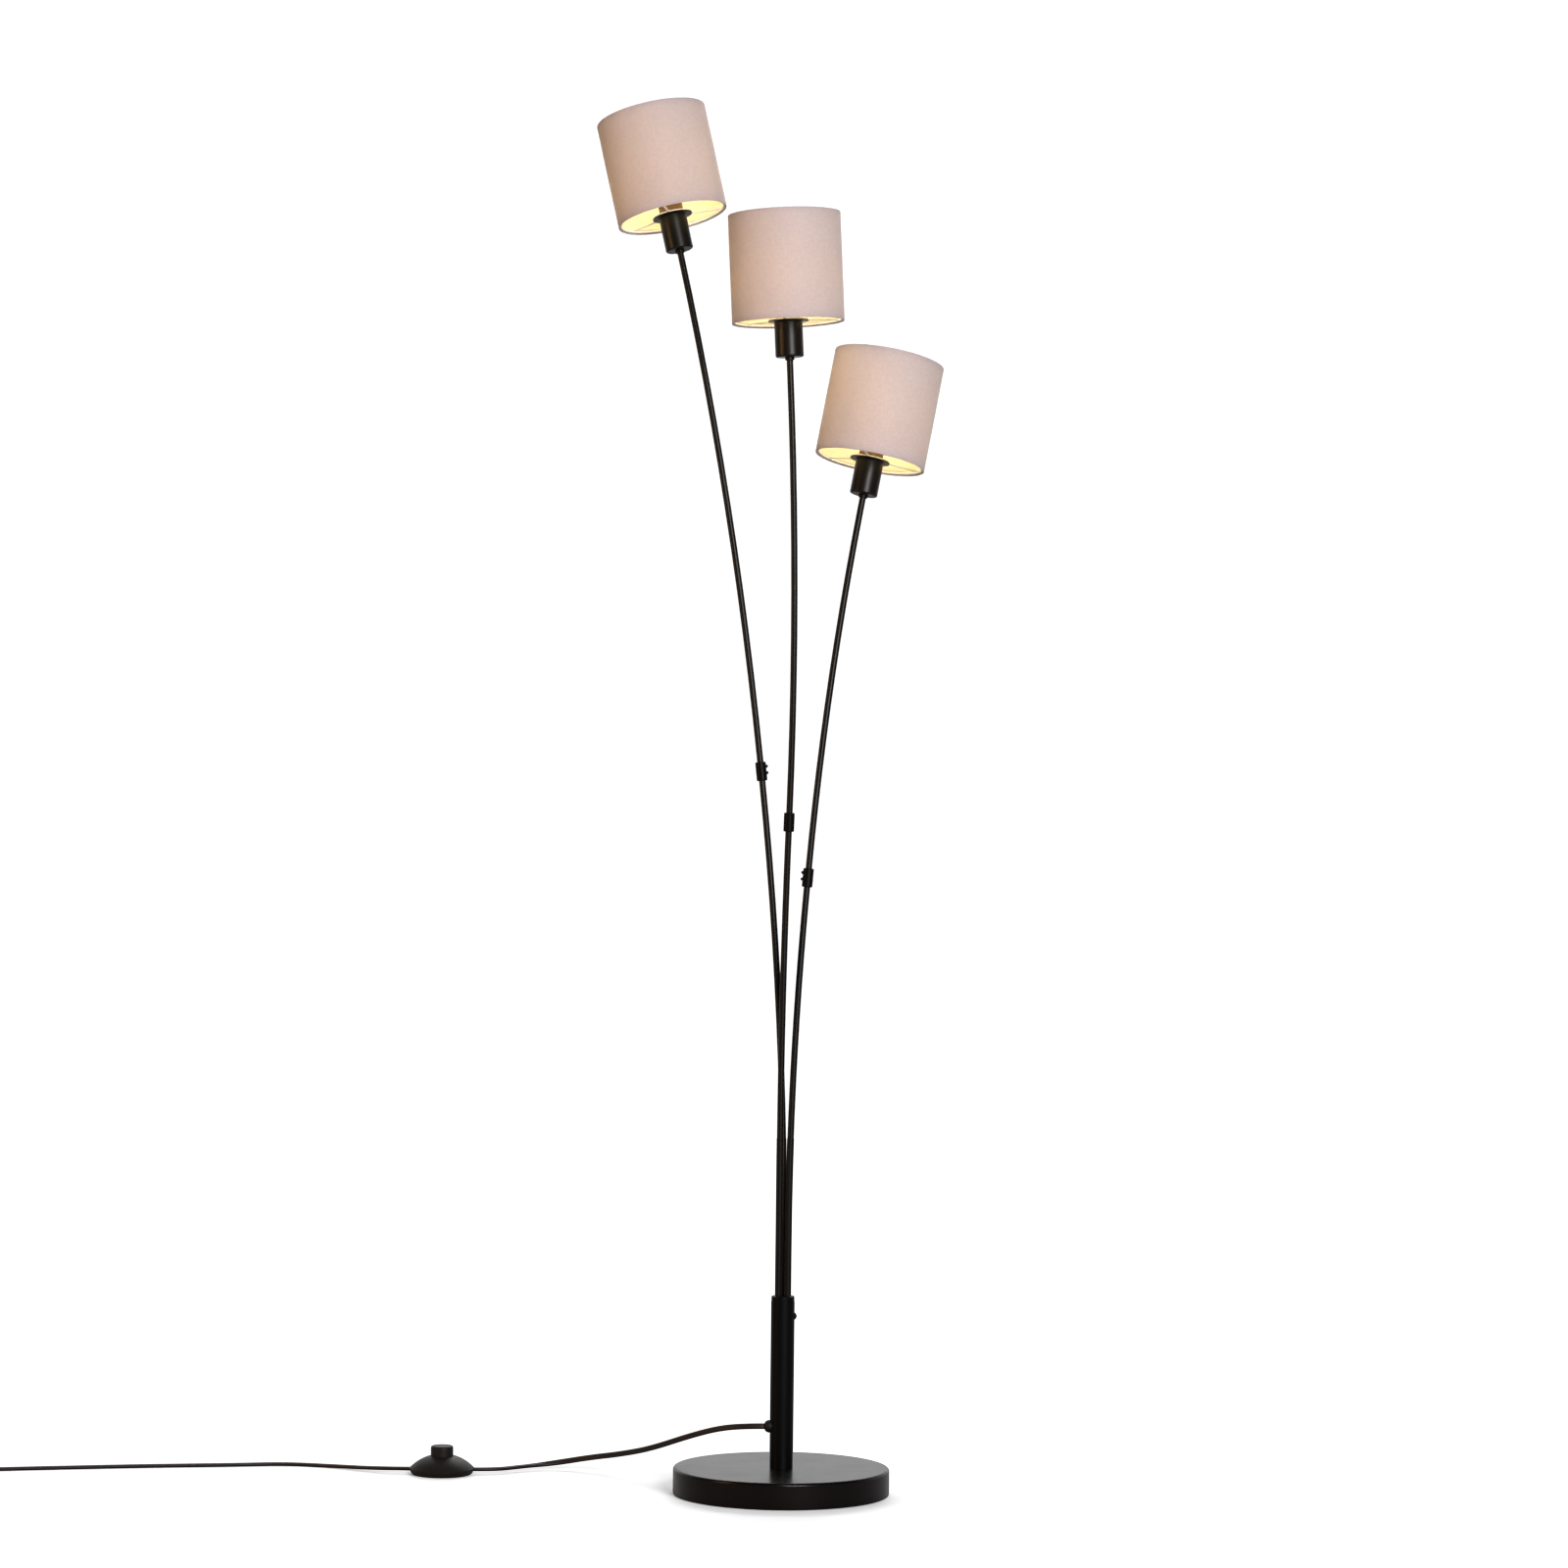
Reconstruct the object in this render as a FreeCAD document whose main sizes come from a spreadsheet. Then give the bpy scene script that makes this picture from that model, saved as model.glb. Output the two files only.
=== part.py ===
import FreeCAD, Part
import math
import os

import Sketcher
from FreeCAD import Placement, Rotation, Vector

# Tree floor lamp. Millimetres, +Z up, +X to the viewer's right, +Y away from the viewer.
# The origin is on the floor, at the centre of the round base.
# Each sub-part is modelled on its own local Z axis and is then placed by its Placement.

SIZES = [
    # base
    ("base_diameter", 230.0, "round base, outside"),
    ("base_height", 28.5, "floor to the base's top face"),
    ("base_reveal", 1.0, "floor to the cover's lower edge"),
    ("cover_wall", 1.5, "spun steel of the base cover"),
    ("cover_round", 3.0, "rounded top edge of the cover"),
    ("cover_lip_round", 1.2, "rounded lower edge of the cover"),
    ("weight_clearance", 0.25, "radial, between the cast weight and the cover"),
    ("weight_plate", 13.0, "thickness of the weight's plate"),
    ("weight_rim", 16.0, "width of the weight's raised rim"),
    ("weight_chamfer", 3.0, "chamfer under the cover's rounded edge"),
    ("weight_hub_diameter", 46.0, "raised hub round the threaded tube"),
    ("weight_recess_diameter", 34.0, "recess for the nut, under the weight"),
    ("weight_recess_depth", 10.0, "depth of that recess"),
    ("pad_thickness", 2.0, "felt disc under the base"),
    ("pad_inset", 5.0, "felt disc inside the weight's edge"),
    ("nipple_diameter", 10.0, "threaded tube"),
    ("nipple_bore", 7.0, "bore of the threaded tube"),
    ("nipple_length", 42.0, "length of the threaded tube"),
    ("thread_clearance", 0.05, "radial, between threads drawn plain"),
    ("washer_diameter", 26.0, "washer under the weight"),
    ("washer_thickness", 1.6, "washer under the weight"),
    ("nut_flats", 14.0, "hex nut, across flats"),
    ("nut_height", 5.0, "hex nut"),
    # pole
    ("pole_diameter", 24.5, "steel tube, outside"),
    ("pole_wall", 1.2, "steel tube, wall"),
    ("pole_top", 205.0, "floor to the tube's upper end"),
    ("foot_bush_height", 18.0, "bush in the pole's foot"),
    ("press_clearance", 0.05, "radial, between pieces pushed together"),
    ("plug_head_diameter", 24.0, "visible head of the top plug"),
    ("plug_head_height", 6.0, "visible head of the top plug"),
    ("plug_head_round", 1.2, "rounded upper edge of that head"),
    ("plug_skirt_length", 22.0, "plug inside the pole"),
    ("rod_ring_diameter", 11.3, "circle through the three rod holes"),
    ("pole_screw_drop", 15.3, "tube's upper end down to the screw"),
    ("pole_screw_head", 7.4, "domed head, diameter"),
    ("pole_screw_rise", 2.4, "domed head, height"),
    ("pole_screw_shank", 4.0, "thread diameter"),
    ("pole_screw_length", 3.4, "shank under the head"),
    ("cord_exit_height", 72.0, "floor to the cord gland"),
    ("gland_diameter", 13.0, "domed gland"),
    ("gland_rise", 5.6, "gland's dome above the pole"),
    ("gland_spigot", 8.6, "gland's neck through the pole wall"),
    ("gland_nose", 7.2, "flat nose of the gland"),
    ("gland_shoulder", 1.4, "straight rim of the gland outside the pole"),
    ("gland_sink", 2.8, "gland's rim before the saddle is cut"),
    ("gland_neck_inside", 1.2, "gland's neck inside the pole"),
    # rods
    ("rod_diameter", 7.0, "bent steel tube, outside"),
    ("rod_wall", 0.8, "bent steel tube, wall"),
    ("rod_clearance", 0.05, "radial, rod in a bore"),
    ("sleeve_diameter", 11.5, "connector sleeve, outside"),
    ("sleeve_length", 20.0, "connector sleeve"),
    ("sleeve_chamfer", 0.6, "chamfer of the sleeve's ends"),
    ("sleeve_web", 1.0, "web between the two rods"),
    ("sleeve_web_height", 6.0, "sleeve's lower end to the web"),
    ("set_screw_diameter", 3.0, "set screw, thread"),
    ("set_screw_head", 3.6, "set screw, head diameter"),
    ("set_screw_rise", 2.0, "set screw's head outside the sleeve"),
    ("set_screw_low", 8.1, "sleeve's lower end to the lower screw"),
    ("set_screw_high", 15.1, "sleeve's lower end to the upper screw"),
    ("wire_diameter", 2.8, "wire in a rod"),
    ("wire_clearance", 0.1, "radial, wire in a web or bush"),
    # lamp head, along its own axis from the nut's lower face
    ("rod_nut_diameter", 10.0, "collar nut under the cup"),
    ("rod_nut_height", 3.1, "collar nut under the cup"),
    ("rod_nut_chamfer", 0.6, "chamfer of the nut's lower edge"),
    ("cup_diameter", 30.0, "metal cup, outside"),
    ("cup_height", 38.7, "cup, floor to flange top"),
    ("cup_wall", 1.2, "metal of the cup"),
    ("cup_round", 2.0, "rounded lower edge of the cup"),
    ("flange_diameter", 43.0, "flange that carries the shade"),
    ("rod_entry", 8.0, "rod above the cup's floor"),
    ("holder_diameter", 26.0, "lamp holder and its collar"),
    ("holder_rise", 14.0, "holder above the flange"),
    ("holder_hub_diameter", 13.0, "holder's foot on the rod"),
    ("holder_hub_height", 12.0, "holder's foot on the rod"),
    ("holder_foot_gap", 0.2, "cup's floor to the holder's foot"),
    ("collar_wall", 1.6, "threaded collar that clamps the shade"),
    ("collar_clearance", 0.1, "radial, collar on the holder"),
    ("holder_socket_diameter", 16.0, "bore for the bulb's cap"),
    ("holder_socket_depth", 25.0, "bore for the bulb's cap"),
    # shade
    ("shade_diameter", 119.0, "fabric drum, outside"),
    ("shade_height", 114.3, "fabric drum"),
    ("shade_wall", 0.9, "fabric on its stiff lining"),
    ("shade_hem_height", 4.0, "turned-in fabric at both edges"),
    ("shade_hem_extra", 0.5, "extra thickness of the turned-in fabric"),
    ("shade_drop", 2.4, "flange top down to the drum's lower edge"),
    ("fitter_diameter", 41.0, "fitter ring of the spider"),
    ("fitter_thickness", 1.4, "fitter ring of the spider"),
    ("arm_diameter", 2.2, "spider arm"),
    ("ring_wire", 2.4, "wire of the two shade rings"),
    ("ring_clearance", 0.1, "between the rings and the drum"),
    ("ring_inset", 2.4, "drum's edge to the centre of the ring"),
    ("arm_turn", 20.0, "first arm from the +X direction, degrees"),
    # bulb
    ("bulb_cap_diameter", 13.8, "E14 cap"),
    ("bulb_cap_length", 24.0, "E14 cap"),
    ("bulb_diameter", 45.0, "globe"),
    ("bulb_length", 78.0, "whole bulb"),
    ("bulb_neck_diameter", 15.0, "glass neck on the cap"),
    ("bulb_seat", 0.2, "cap's tip above the socket's floor"),
    ("bulb_tip_chamfer", 2.0, "chamfer round the cap's tip"),
    # foot switch
    ("switch_diameter", 70.0, "widest, at the parting line"),
    ("switch_foot_diameter", 62.0, "flat underside"),
    ("switch_parting", 6.5, "floor to the parting line"),
    ("switch_height", 19.5, "floor to the dome's mouth"),
    ("switch_wall", 1.8, "moulded wall"),
    ("switch_dome_radius", 48.0, "arc of the dome's side"),
    ("switch_foot_radius", 8.0, "arc of the underside's edge"),
    ("switch_x", -371.5, "centre of the switch"),
    ("switch_y", 117.0, "centre of the switch"),
    ("button_diameter", 24.0, "foot button"),
    ("button_top", 30.8, "floor to the button's top"),
    ("button_round", 2.2, "rounded upper edge of the button"),
    ("button_flange_diameter", 28.0, "flange that keeps the button in"),
    ("button_flange_thickness", 1.6, "flange that keeps the button in"),
    ("button_gap", 0.35, "running gap round the button"),
    ("button_wall", 1.6, "moulded side of the button"),
    ("button_crown", 3.2, "moulded top of the button"),
    ("button_travel", 4.0, "how far the button goes down"),
    ("spring_wire", 1.0, "return spring, wire"),
    ("spring_diameter", 15.0, "return spring, mean diameter"),
    ("spring_turns", 4.0, "return spring, turns"),
    ("spring_clearance", 0.1, "return spring to its seats"),
    ("spring_seat_height", 2.0, "boss that centres the spring"),
    # cord
    ("cord_diameter", 5.6, "mains cord"),
    ("inner_cord_diameter", 4.6, "cord inside the pole"),
    ("switch_cord_height", 5.3, "floor to the cord at the switch"),
    ("switch_cord_depth", 4.0, "cord's end inside the switch's rim"),
    ("coil_gap", 0.6, "between turns of the put-away coil"),
    ("coil_inner_radius", 23.0, "centre line of the innermost half turn"),
    ("coil_half_turns", 4.0, "half turns that spiral in on each layer"),
    ("coil_exit", 11.0, "straight run off the top of the coil"),
    ("coil_descent", 22.0, "level distance in which the cord then comes down to the plug"),
    ("coil_x", -946.0, "where the coil begins"),
    ("coil_y", 90.0, "where the coil begins"),
    # mains plug
    ("plug_length", 33.0, "moulded plug body"),
    ("plug_width", 35.3, "plug body at the pins"),
    ("plug_thickness", 13.7, "plug body"),
    ("plug_neck_width", 10.5, "plug body at the cord"),
    ("plug_waist_width", 14.0, "plug body where it starts to widen"),
    ("plug_waist", 12.0, "plug's cord end to where it starts to widen"),
    ("plug_shoulder", 21.0, "plug's cord end to its full width"),
    ("plug_round", 2.5, "rounded edges of the plug body"),
    ("plug_pin_diameter", 4.0, "plug pin"),
    ("plug_pin_length", 19.0, "plug pin outside the body"),
    ("plug_pin_spacing", 18.6, "between the pins"),
    ("plug_pin_root", 8.0, "plug pin inside the body"),
]

# One row of bend figures for each branch of the tree.
# hole: number of the plug hole, counted from the one at the back; rise: straight stretch above the plug;
# lower_arc and upper_arc: bent lengths; lean: azimuth of the lower bend; turn: the upper rod's turn in its
# sleeve; end: straight stretch under the nut; screw_side: azimuth that the set screws face.
BRANCH_SIZES = {
    "left": {
        "hole": 0, "rise": 36.0, "lower_arc": 514.5, "lower_bend": 6.7, "lean": 159.7,
        "turn": 6.3, "upper_arc": 557.0, "upper_bend": 6.7, "end": 0.5, "screw_side": 0.0,
    },
    "middle": {
        "hole": 1, "rise": 150.0, "lower_arc": 345.0, "lower_bend": 4.0, "lean": -62.7,
        "turn": -127.9, "upper_arc": 467.0, "upper_bend": 4.8, "end": 11.0, "screw_side": 90.0,
    },
    "right": {
        "hole": 2, "rise": 54.5, "lower_arc": 382.2, "lower_bend": 5.7, "lean": 32.7,
        "turn": -22.0, "upper_arc": 388.0, "upper_bend": 5.65, "end": 15.5, "screw_side": 180.0,
    },
}

doc = FreeCAD.newDocument("TreeFloorLamp")
sheet = doc.addObject("Spreadsheet::Sheet", "Sizes")


class Size:
    """A number together with the sheet formula that gives it."""

    def __init__(self, number, formula):
        self.number = number
        self.formula = formula

    def __add__(self, other):
        other = as_size(other)
        return Size(self.number + other.number, f"({self.formula} + {other.formula})")

    def __sub__(self, other):
        other = as_size(other)
        return Size(self.number - other.number, f"({self.formula} - {other.formula})")

    def __mul__(self, other):
        other = as_size(other)
        return Size(self.number * other.number, f"({self.formula} * {other.formula})")

    def __truediv__(self, other):
        other = as_size(other)
        return Size(self.number / other.number, f"({self.formula} / {other.formula})")

    def __neg__(self):
        return Size(-self.number, f"(0 - {self.formula})")


def as_size(value):
    """A Size as it is, or a plain number as a Size."""
    if isinstance(value, Size):
        return value
    return Size(float(value), f"({float(value)!r})")


def fill_sheet():
    """Write every driving dimension to the sheet and return them by name."""
    rows = list(SIZES)
    for branch, figures in BRANCH_SIZES.items():
        for name, number in figures.items():
            rows.append((f"{branch}_{name}", number, f"{branch} branch, {name}"))
    sizes = {}
    for row, (alias, number, note) in enumerate(rows, start=1):
        sheet.set(f"A{row}", note)
        sheet.set(f"B{row}", repr(float(number)))
        sheet.setAlias(f"B{row}", alias)
        sizes[alias] = Size(float(number), f"Sizes.{alias}")
    doc.recompute()
    return sizes


SIZE = fill_sheet()
PARTS = []


def sized(name):
    """The driving dimension of that name."""
    return SIZE[name]


def keep(part, label, placement=None):
    """Name a finished sub-part and put it in its place."""
    part.Label = label
    if placement is not None:
        part.Placement = placement
    PARTS.append(part)
    return part


def new_body(label):
    return doc.addObject("PartDesign::Body", "Body_" + label)


def origin_plane(body, role):
    for feature in body.Origin.OriginFeatures:
        if feature.Role == role:
            return feature
    raise ValueError(role)


def new_sketch(body, role, name, offset=None):
    """An empty sketch on one of the body's own planes, moved along the plane's normal by offset."""
    sketch = body.newObject("Sketcher::SketchObject", name)
    sketch.AttachmentSupport = [(origin_plane(body, role), "")]
    sketch.MapMode = "FlatFace"
    if offset is not None:
        sketch.AttachmentOffset = Placement(Vector(0, 0, offset.number), Rotation())
        sketch.setExpression("AttachmentOffset.Base.z", offset.formula)
    return sketch


def drive(sketch, kind, first, second, size):
    """Fix one distance of a sketch by a Size; zero puts the point on the axis."""
    size = as_size(size)
    geometry, position = second
    if abs(size.number) < 1e-9:
        axis = -2 if kind == "DistanceX" else -1
        if first == (-1, 1):
            sketch.addConstraint(Sketcher.Constraint("PointOnObject", geometry, position, axis))
            return
    if size.number < 0:
        first, second, size = second, first, -size
    index = sketch.addConstraint(Sketcher.Constraint(kind, *first, *second, size.number))
    sketch.setExpression(f"Constraints[{index}]", size.formula)


def drive_radius(sketch, geometry, size):
    size = as_size(size)
    index = sketch.addConstraint(Sketcher.Constraint("Radius", geometry, size.number))
    sketch.setExpression(f"Constraints[{index}]", size.formula)


def draw_outline(sketch, corners):
    """A closed outline. A corner is (across, up) or (across, up, radius): a radius makes the side that
    leaves the corner an arc, which bulges to the right of the way it runs, or to the left if negative."""
    points = [Vector(as_size(c[0]).number, as_size(c[1]).number, 0) for c in corners]
    count = len(corners)
    starts = []
    for index, corner in enumerate(corners):
        here, there = points[index], points[(index + 1) % count]
        if len(corner) == 2:
            geometry = sketch.addGeometry(Part.LineSegment(here, there))
            starts.append((geometry, 1, 2))
            continue
        radius = as_size(corner[2])
        chord = there - here
        left = Vector(-chord.y, chord.x, 0).normalize()
        depth = math.sqrt(max(radius.number ** 2 - (chord.Length / 2) ** 2, 0.0))
        side = 1.0 if radius.number > 0 else -1.0
        centre = (here + there) * 0.5 + left * (depth * side)
        from_angle = math.atan2(here.y - centre.y, here.x - centre.x)
        to_angle = math.atan2(there.y - centre.y, there.x - centre.x)
        circle = Part.Circle(centre, Vector(0, 0, 1), abs(radius.number))
        if side > 0:
            geometry = sketch.addGeometry(Part.ArcOfCircle(circle, from_angle, to_angle))
            starts.append((geometry, 1, 2))
        else:
            geometry = sketch.addGeometry(Part.ArcOfCircle(circle, to_angle, from_angle))
            starts.append((geometry, 2, 1))
    for index in range(count):
        geometry, _, end = starts[index]
        next_geometry, next_start, _ = starts[(index + 1) % count]
        sketch.addConstraint(Sketcher.Constraint("Coincident", geometry, end, next_geometry, next_start))
    for index, corner in enumerate(corners):
        geometry, start, _ = starts[index]
        drive(sketch, "DistanceX", (-1, 1), (geometry, start), corner[0])
        drive(sketch, "DistanceY", (-1, 1), (geometry, start), corner[1])
        if len(corner) == 3:
            radius = as_size(corner[2])
            drive_radius(sketch, geometry, radius if radius.number > 0 else -radius)
    return sketch


def draw_circle(sketch, radius, across=0.0, up=0.0):
    centre = Vector(as_size(across).number, as_size(up).number, 0)
    geometry = sketch.addGeometry(Part.Circle(centre, Vector(0, 0, 1), as_size(radius).number))
    drive_radius(sketch, geometry, radius)
    drive(sketch, "DistanceX", (-1, 1), (geometry, 3), across)
    drive(sketch, "DistanceY", (-1, 1), (geometry, 3), up)
    return geometry


def revolve(body, name, corners):
    """Turn an outline in the XZ plane once round the body's Z axis."""
    sketch = draw_outline(new_sketch(body, "XZ_Plane", name + "Outline"), corners)
    feature = body.newObject("PartDesign::Revolution", name)
    feature.Profile = sketch
    feature.ReferenceAxis = (sketch, ["V_Axis"])
    feature.Angle = 360.0
    sketch.Visibility = False
    return feature


def pad(body, name, sketch, length, reversed_way=False, midplane=False):
    feature = body.newObject("PartDesign::Pad", name)
    feature.Profile = sketch
    feature.Length = as_size(length).number
    feature.setExpression("Length", as_size(length).formula)
    feature.Reversed = reversed_way
    feature.Midplane = midplane
    return feature


def pocket(body, name, sketch, length, reversed_way=False, midplane=False):
    """Cut a sketch into the body, and make sure that it takes material away."""
    doc.recompute()
    before = body.Shape.Volume
    feature = body.newObject("PartDesign::Pocket", name)
    feature.Profile = sketch
    feature.Length = as_size(length).number
    feature.setExpression("Length", as_size(length).formula)
    feature.Reversed = reversed_way
    feature.Midplane = midplane
    doc.recompute()
    if body.Shape.Volume > before - 1e-6:
        raise ValueError(f"{body.Label}: {name} cuts nothing")
    return feature


def round_pattern(body, name, features, copies):
    """Repeat features evenly round the body's Z axis."""
    pattern = body.newObject("PartDesign::PolarPattern", name)
    pattern.Originals = features
    for axis in body.Origin.OriginFeatures:
        if axis.Role == "Z_Axis":
            pattern.Axis = (axis, [""])
    pattern.Angle = 360.0
    pattern.Occurrences = copies
    body.Tip = pattern
    return pattern


def edges_where(shape, test):
    names = []
    for index, edge in enumerate(shape.Edges, start=1):
        if test(edge):
            names.append(f"Edge{index}")
    return names


def is_ring(edge, radius, height):
    """Whether an edge is a full circle of that radius round Z at that height."""
    if not isinstance(edge.Curve, Part.Circle) or len(edge.Vertexes) != 1:
        return False
    centre = edge.Curve.Center
    on_axis = math.hypot(centre.x, centre.y) < 0.01
    return on_axis and abs(edge.Curve.Radius - radius) < 0.01 and abs(centre.z - height) < 0.01


def soften(body, name, kind, base, rings, size):
    """Fillet or chamfer the full circles of base that rings lists as (radius, height)."""
    doc.recompute()
    wanted = [(as_size(r).number, as_size(h).number) for r, h in rings]
    names = edges_where(base.Shape, lambda edge: any(is_ring(edge, r, h) for r, h in wanted))
    if len(names) != len(rings):
        raise ValueError(f"{name}: found {len(names)} of {len(rings)} edges")
    return soften_edges(body, name, kind, base, names, size)


def soften_edges(body, name, kind, base, names, size):
    feature = body.newObject("PartDesign::" + kind, name)
    feature.Base = (base, names)
    field = "Radius" if kind == "Fillet" else "Size"
    setattr(feature, field, as_size(size).number)
    feature.setExpression(field, as_size(size).formula)
    return feature


def turned_ring(label, bore, diameter, bottom, height, placement=None):
    """A plain ring or tube: bore and diameter, from bottom up by height."""
    body = new_body(label)
    top = bottom + height
    inner, outer = bore / 2, diameter / 2
    revolve(body, "Ring", [(inner, bottom), (outer, bottom), (outer, top), (inner, top)])
    return keep(body, label, placement)


# ---------------------------------------------------------------- base

BASE_TOP = sized("base_height")
POLE_BORE = sized("pole_diameter") - sized("pole_wall") * 2
COVER_UNDERSIDE = BASE_TOP - sized("cover_wall")
THREAD_HOLE = sized("nipple_diameter") + sized("thread_clearance") * 2
WEIGHT_RADIUS = sized("base_diameter") / 2 - sized("cover_wall") - sized("weight_clearance")
WEIGHT_TOP = COVER_UNDERSIDE


def make_base_cover():
    """A spun pan, open below, with a hole for the threaded tube."""
    body = new_body("base_cover")
    outer = sized("base_diameter") / 2
    wall = sized("cover_wall")
    pan = revolve(body, "Pan", [
        (THREAD_HOLE / 2, COVER_UNDERSIDE),
        (outer - wall, COVER_UNDERSIDE),
        (outer - wall, sized("base_reveal")),
        (outer, sized("base_reveal")),
        (outer, BASE_TOP),
        (THREAD_HOLE / 2, BASE_TOP),
    ])
    top_round = soften(body, "TopRound", "Fillet", pan, [(outer, BASE_TOP)], sized("cover_round"))
    soften(body, "LipRound", "Fillet", top_round, [(outer, sized("base_reveal"))], sized("cover_lip_round"))
    keep(body, "base_cover")


def make_base_weight():
    """A casting with a plate, a raised rim under the cover and a hub round the threaded tube."""
    body = new_body("base_weight")
    bottom = sized("pad_thickness")
    plate_top = bottom + sized("weight_plate")
    hub = sized("weight_hub_diameter") / 2
    rim_inside = WEIGHT_RADIUS - sized("weight_rim")
    recess = sized("weight_recess_diameter") / 2
    recess_top = bottom + sized("weight_recess_depth")
    casting = revolve(body, "Casting", [
        (THREAD_HOLE / 2, recess_top),
        (recess, recess_top),
        (recess, bottom),
        (WEIGHT_RADIUS, bottom),
        (WEIGHT_RADIUS, WEIGHT_TOP),
        (rim_inside, WEIGHT_TOP),
        (rim_inside, plate_top),
        (hub, plate_top),
        (hub, WEIGHT_TOP),
        (THREAD_HOLE / 2, WEIGHT_TOP),
    ])
    soften(body, "EdgeChamfer", "Chamfer", casting, [(WEIGHT_RADIUS, WEIGHT_TOP)], sized("weight_chamfer"))
    keep(body, "base_weight")


def make_base_pad():
    """The felt disc that the lamp stands on."""
    body = new_body("base_pad")
    edge = WEIGHT_RADIUS - sized("pad_inset")
    thickness = sized("pad_thickness")
    revolve(body, "Disc", [(0.0, 0.0), (edge, 0.0), (edge, thickness), (0.0, thickness)])
    keep(body, "base_pad")


def make_base_fixing():
    """The threaded tube, and the washer and nut that pull the pole down on the weight."""
    recess_top = sized("pad_thickness") + sized("weight_recess_depth")
    nut_top = recess_top - sized("washer_thickness")
    nut_bottom = nut_top - sized("nut_height")
    turned_ring(
        "base_nipple", sized("nipple_bore"), sized("nipple_diameter"), nut_bottom, sized("nipple_length"))

    washer = doc.addObject("Part::Cut", "Washer")
    washer.Base = plain_cylinder("WasherDisc", sized("washer_diameter") / 2, sized("washer_thickness"), nut_top)
    washer.Tool = plain_cylinder("WasherHole", THREAD_HOLE / 2, sized("washer_thickness"), nut_top)
    prism = doc.addObject("Part::Prism", "NutPrism")
    prism.Polygon = 6
    corner_radius = sized("nut_flats") / math.sqrt(3.0)
    for field, size in (("Circumradius", corner_radius), ("Height", sized("nut_height"))):
        prism.setExpression(field, size.formula)
    prism.setExpression("Placement.Base.z", nut_bottom.formula)
    nut = doc.addObject("Part::Cut", "Nut")
    nut.Base = prism
    nut.Tool = plain_cylinder("NutHole", THREAD_HOLE / 2, sized("nut_height"), nut_bottom)
    pair = doc.addObject("Part::Compound", "WasherAndNut")
    pair.Links = [washer, nut]
    keep(pair, "base_nut")


def plain_cylinder(name, radius, height, bottom):
    cylinder = doc.addObject("Part::Cylinder", name)
    for field, size in (("Radius", radius), ("Height", height), ("Placement.Base.z", bottom)):
        cylinder.setExpression(field, as_size(size).formula)
    return cylinder


# ---------------------------------------------------------------- pole

POLE_TOP = sized("pole_top")
PLUG_TOP = POLE_TOP + sized("plug_head_height")
PLUG_BOTTOM = POLE_TOP - sized("plug_skirt_length")
ROD_HOLE = sized("rod_diameter") + sized("rod_clearance") * 2
POLE_SCREW_Z = POLE_TOP - sized("pole_screw_drop")
INNER_FIT = POLE_BORE - sized("press_clearance") * 2


def make_pole():
    """A tube with a hole for the gland on the left and one for the screw on the right."""
    body = new_body("pole")
    inner, outer = POLE_BORE / 2, sized("pole_diameter") / 2
    revolve(body, "Tube", [(inner, BASE_TOP), (outer, BASE_TOP), (outer, POLE_TOP), (inner, POLE_TOP)])
    gland_hole = new_sketch(body, "YZ_Plane", "GlandHoleOutline")
    draw_circle(gland_hole, sized("gland_spigot") / 2 + sized("press_clearance"), 0.0, sized("cord_exit_height"))
    pocket(body, "GlandHole", gland_hole, sized("pole_diameter"), reversed_way=False)
    screw_hole = new_sketch(body, "YZ_Plane", "ScrewHoleOutline")
    draw_circle(screw_hole, sized("pole_screw_shank") / 2 + sized("press_clearance"), 0.0, POLE_SCREW_Z)
    pocket(body, "ScrewHole", screw_hole, sized("pole_diameter"), reversed_way=True)
    keep(body, "pole")


def make_foot_bush():
    turned_ring("pole_foot_bush", THREAD_HOLE, INNER_FIT, BASE_TOP, sized("foot_bush_height"))


def make_top_plug():
    """A turned plug: a head that shows above the tube, a skirt inside it and three rod holes."""
    body = new_body("pole_top_plug")
    head = sized("plug_head_diameter") / 2
    skirt = INNER_FIT / 2
    blank = revolve(body, "Blank", [
        (0.0, PLUG_BOTTOM), (skirt, PLUG_BOTTOM), (skirt, POLE_TOP), (head, POLE_TOP), (head, PLUG_TOP),
        (0.0, PLUG_TOP),
    ])
    soften(body, "HeadRound", "Fillet", blank, [(head, PLUG_TOP)], sized("plug_head_round"))
    hole = new_sketch(body, "XY_Plane", "RodHoleOutline")
    draw_circle(hole, ROD_HOLE / 2, 0.0, sized("rod_ring_diameter") / 2)
    bore = pocket(body, "RodHole", hole, PLUG_TOP * 2, midplane=True)
    round_pattern(body, "RodHoles", [bore], len(BRANCH_SIZES))
    doc.recompute()
    screw_hole = new_sketch(body, "YZ_Plane", "ScrewHoleOutline")
    draw_circle(screw_hole, sized("pole_screw_shank") / 2 + sized("press_clearance"), 0.0, POLE_SCREW_Z)
    pocket(body, "ScrewHole", screw_hole, sized("pole_diameter"), reversed_way=True)
    keep(body, "pole_top_plug")


def domed_screw(label, head, rise, shank, length):
    """A screw along local Z: its head's flat underside is at Z 0 and the shank points down."""
    body = new_body(label)
    head_radius, shank_radius = head / 2, shank / 2
    dome = (head_radius.number ** 2 + rise.number ** 2) / (2 * rise.number)
    dome_size = Size(dome, f"(({head_radius.formula}^2 + {rise.formula}^2) / (2 * {rise.formula}))")
    revolve(body, "Screw", [
        (0.0, -length), (shank_radius, -length), (shank_radius, 0.0), (head_radius, 0.0, dome_size), (0.0, rise),
    ])
    return body


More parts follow.
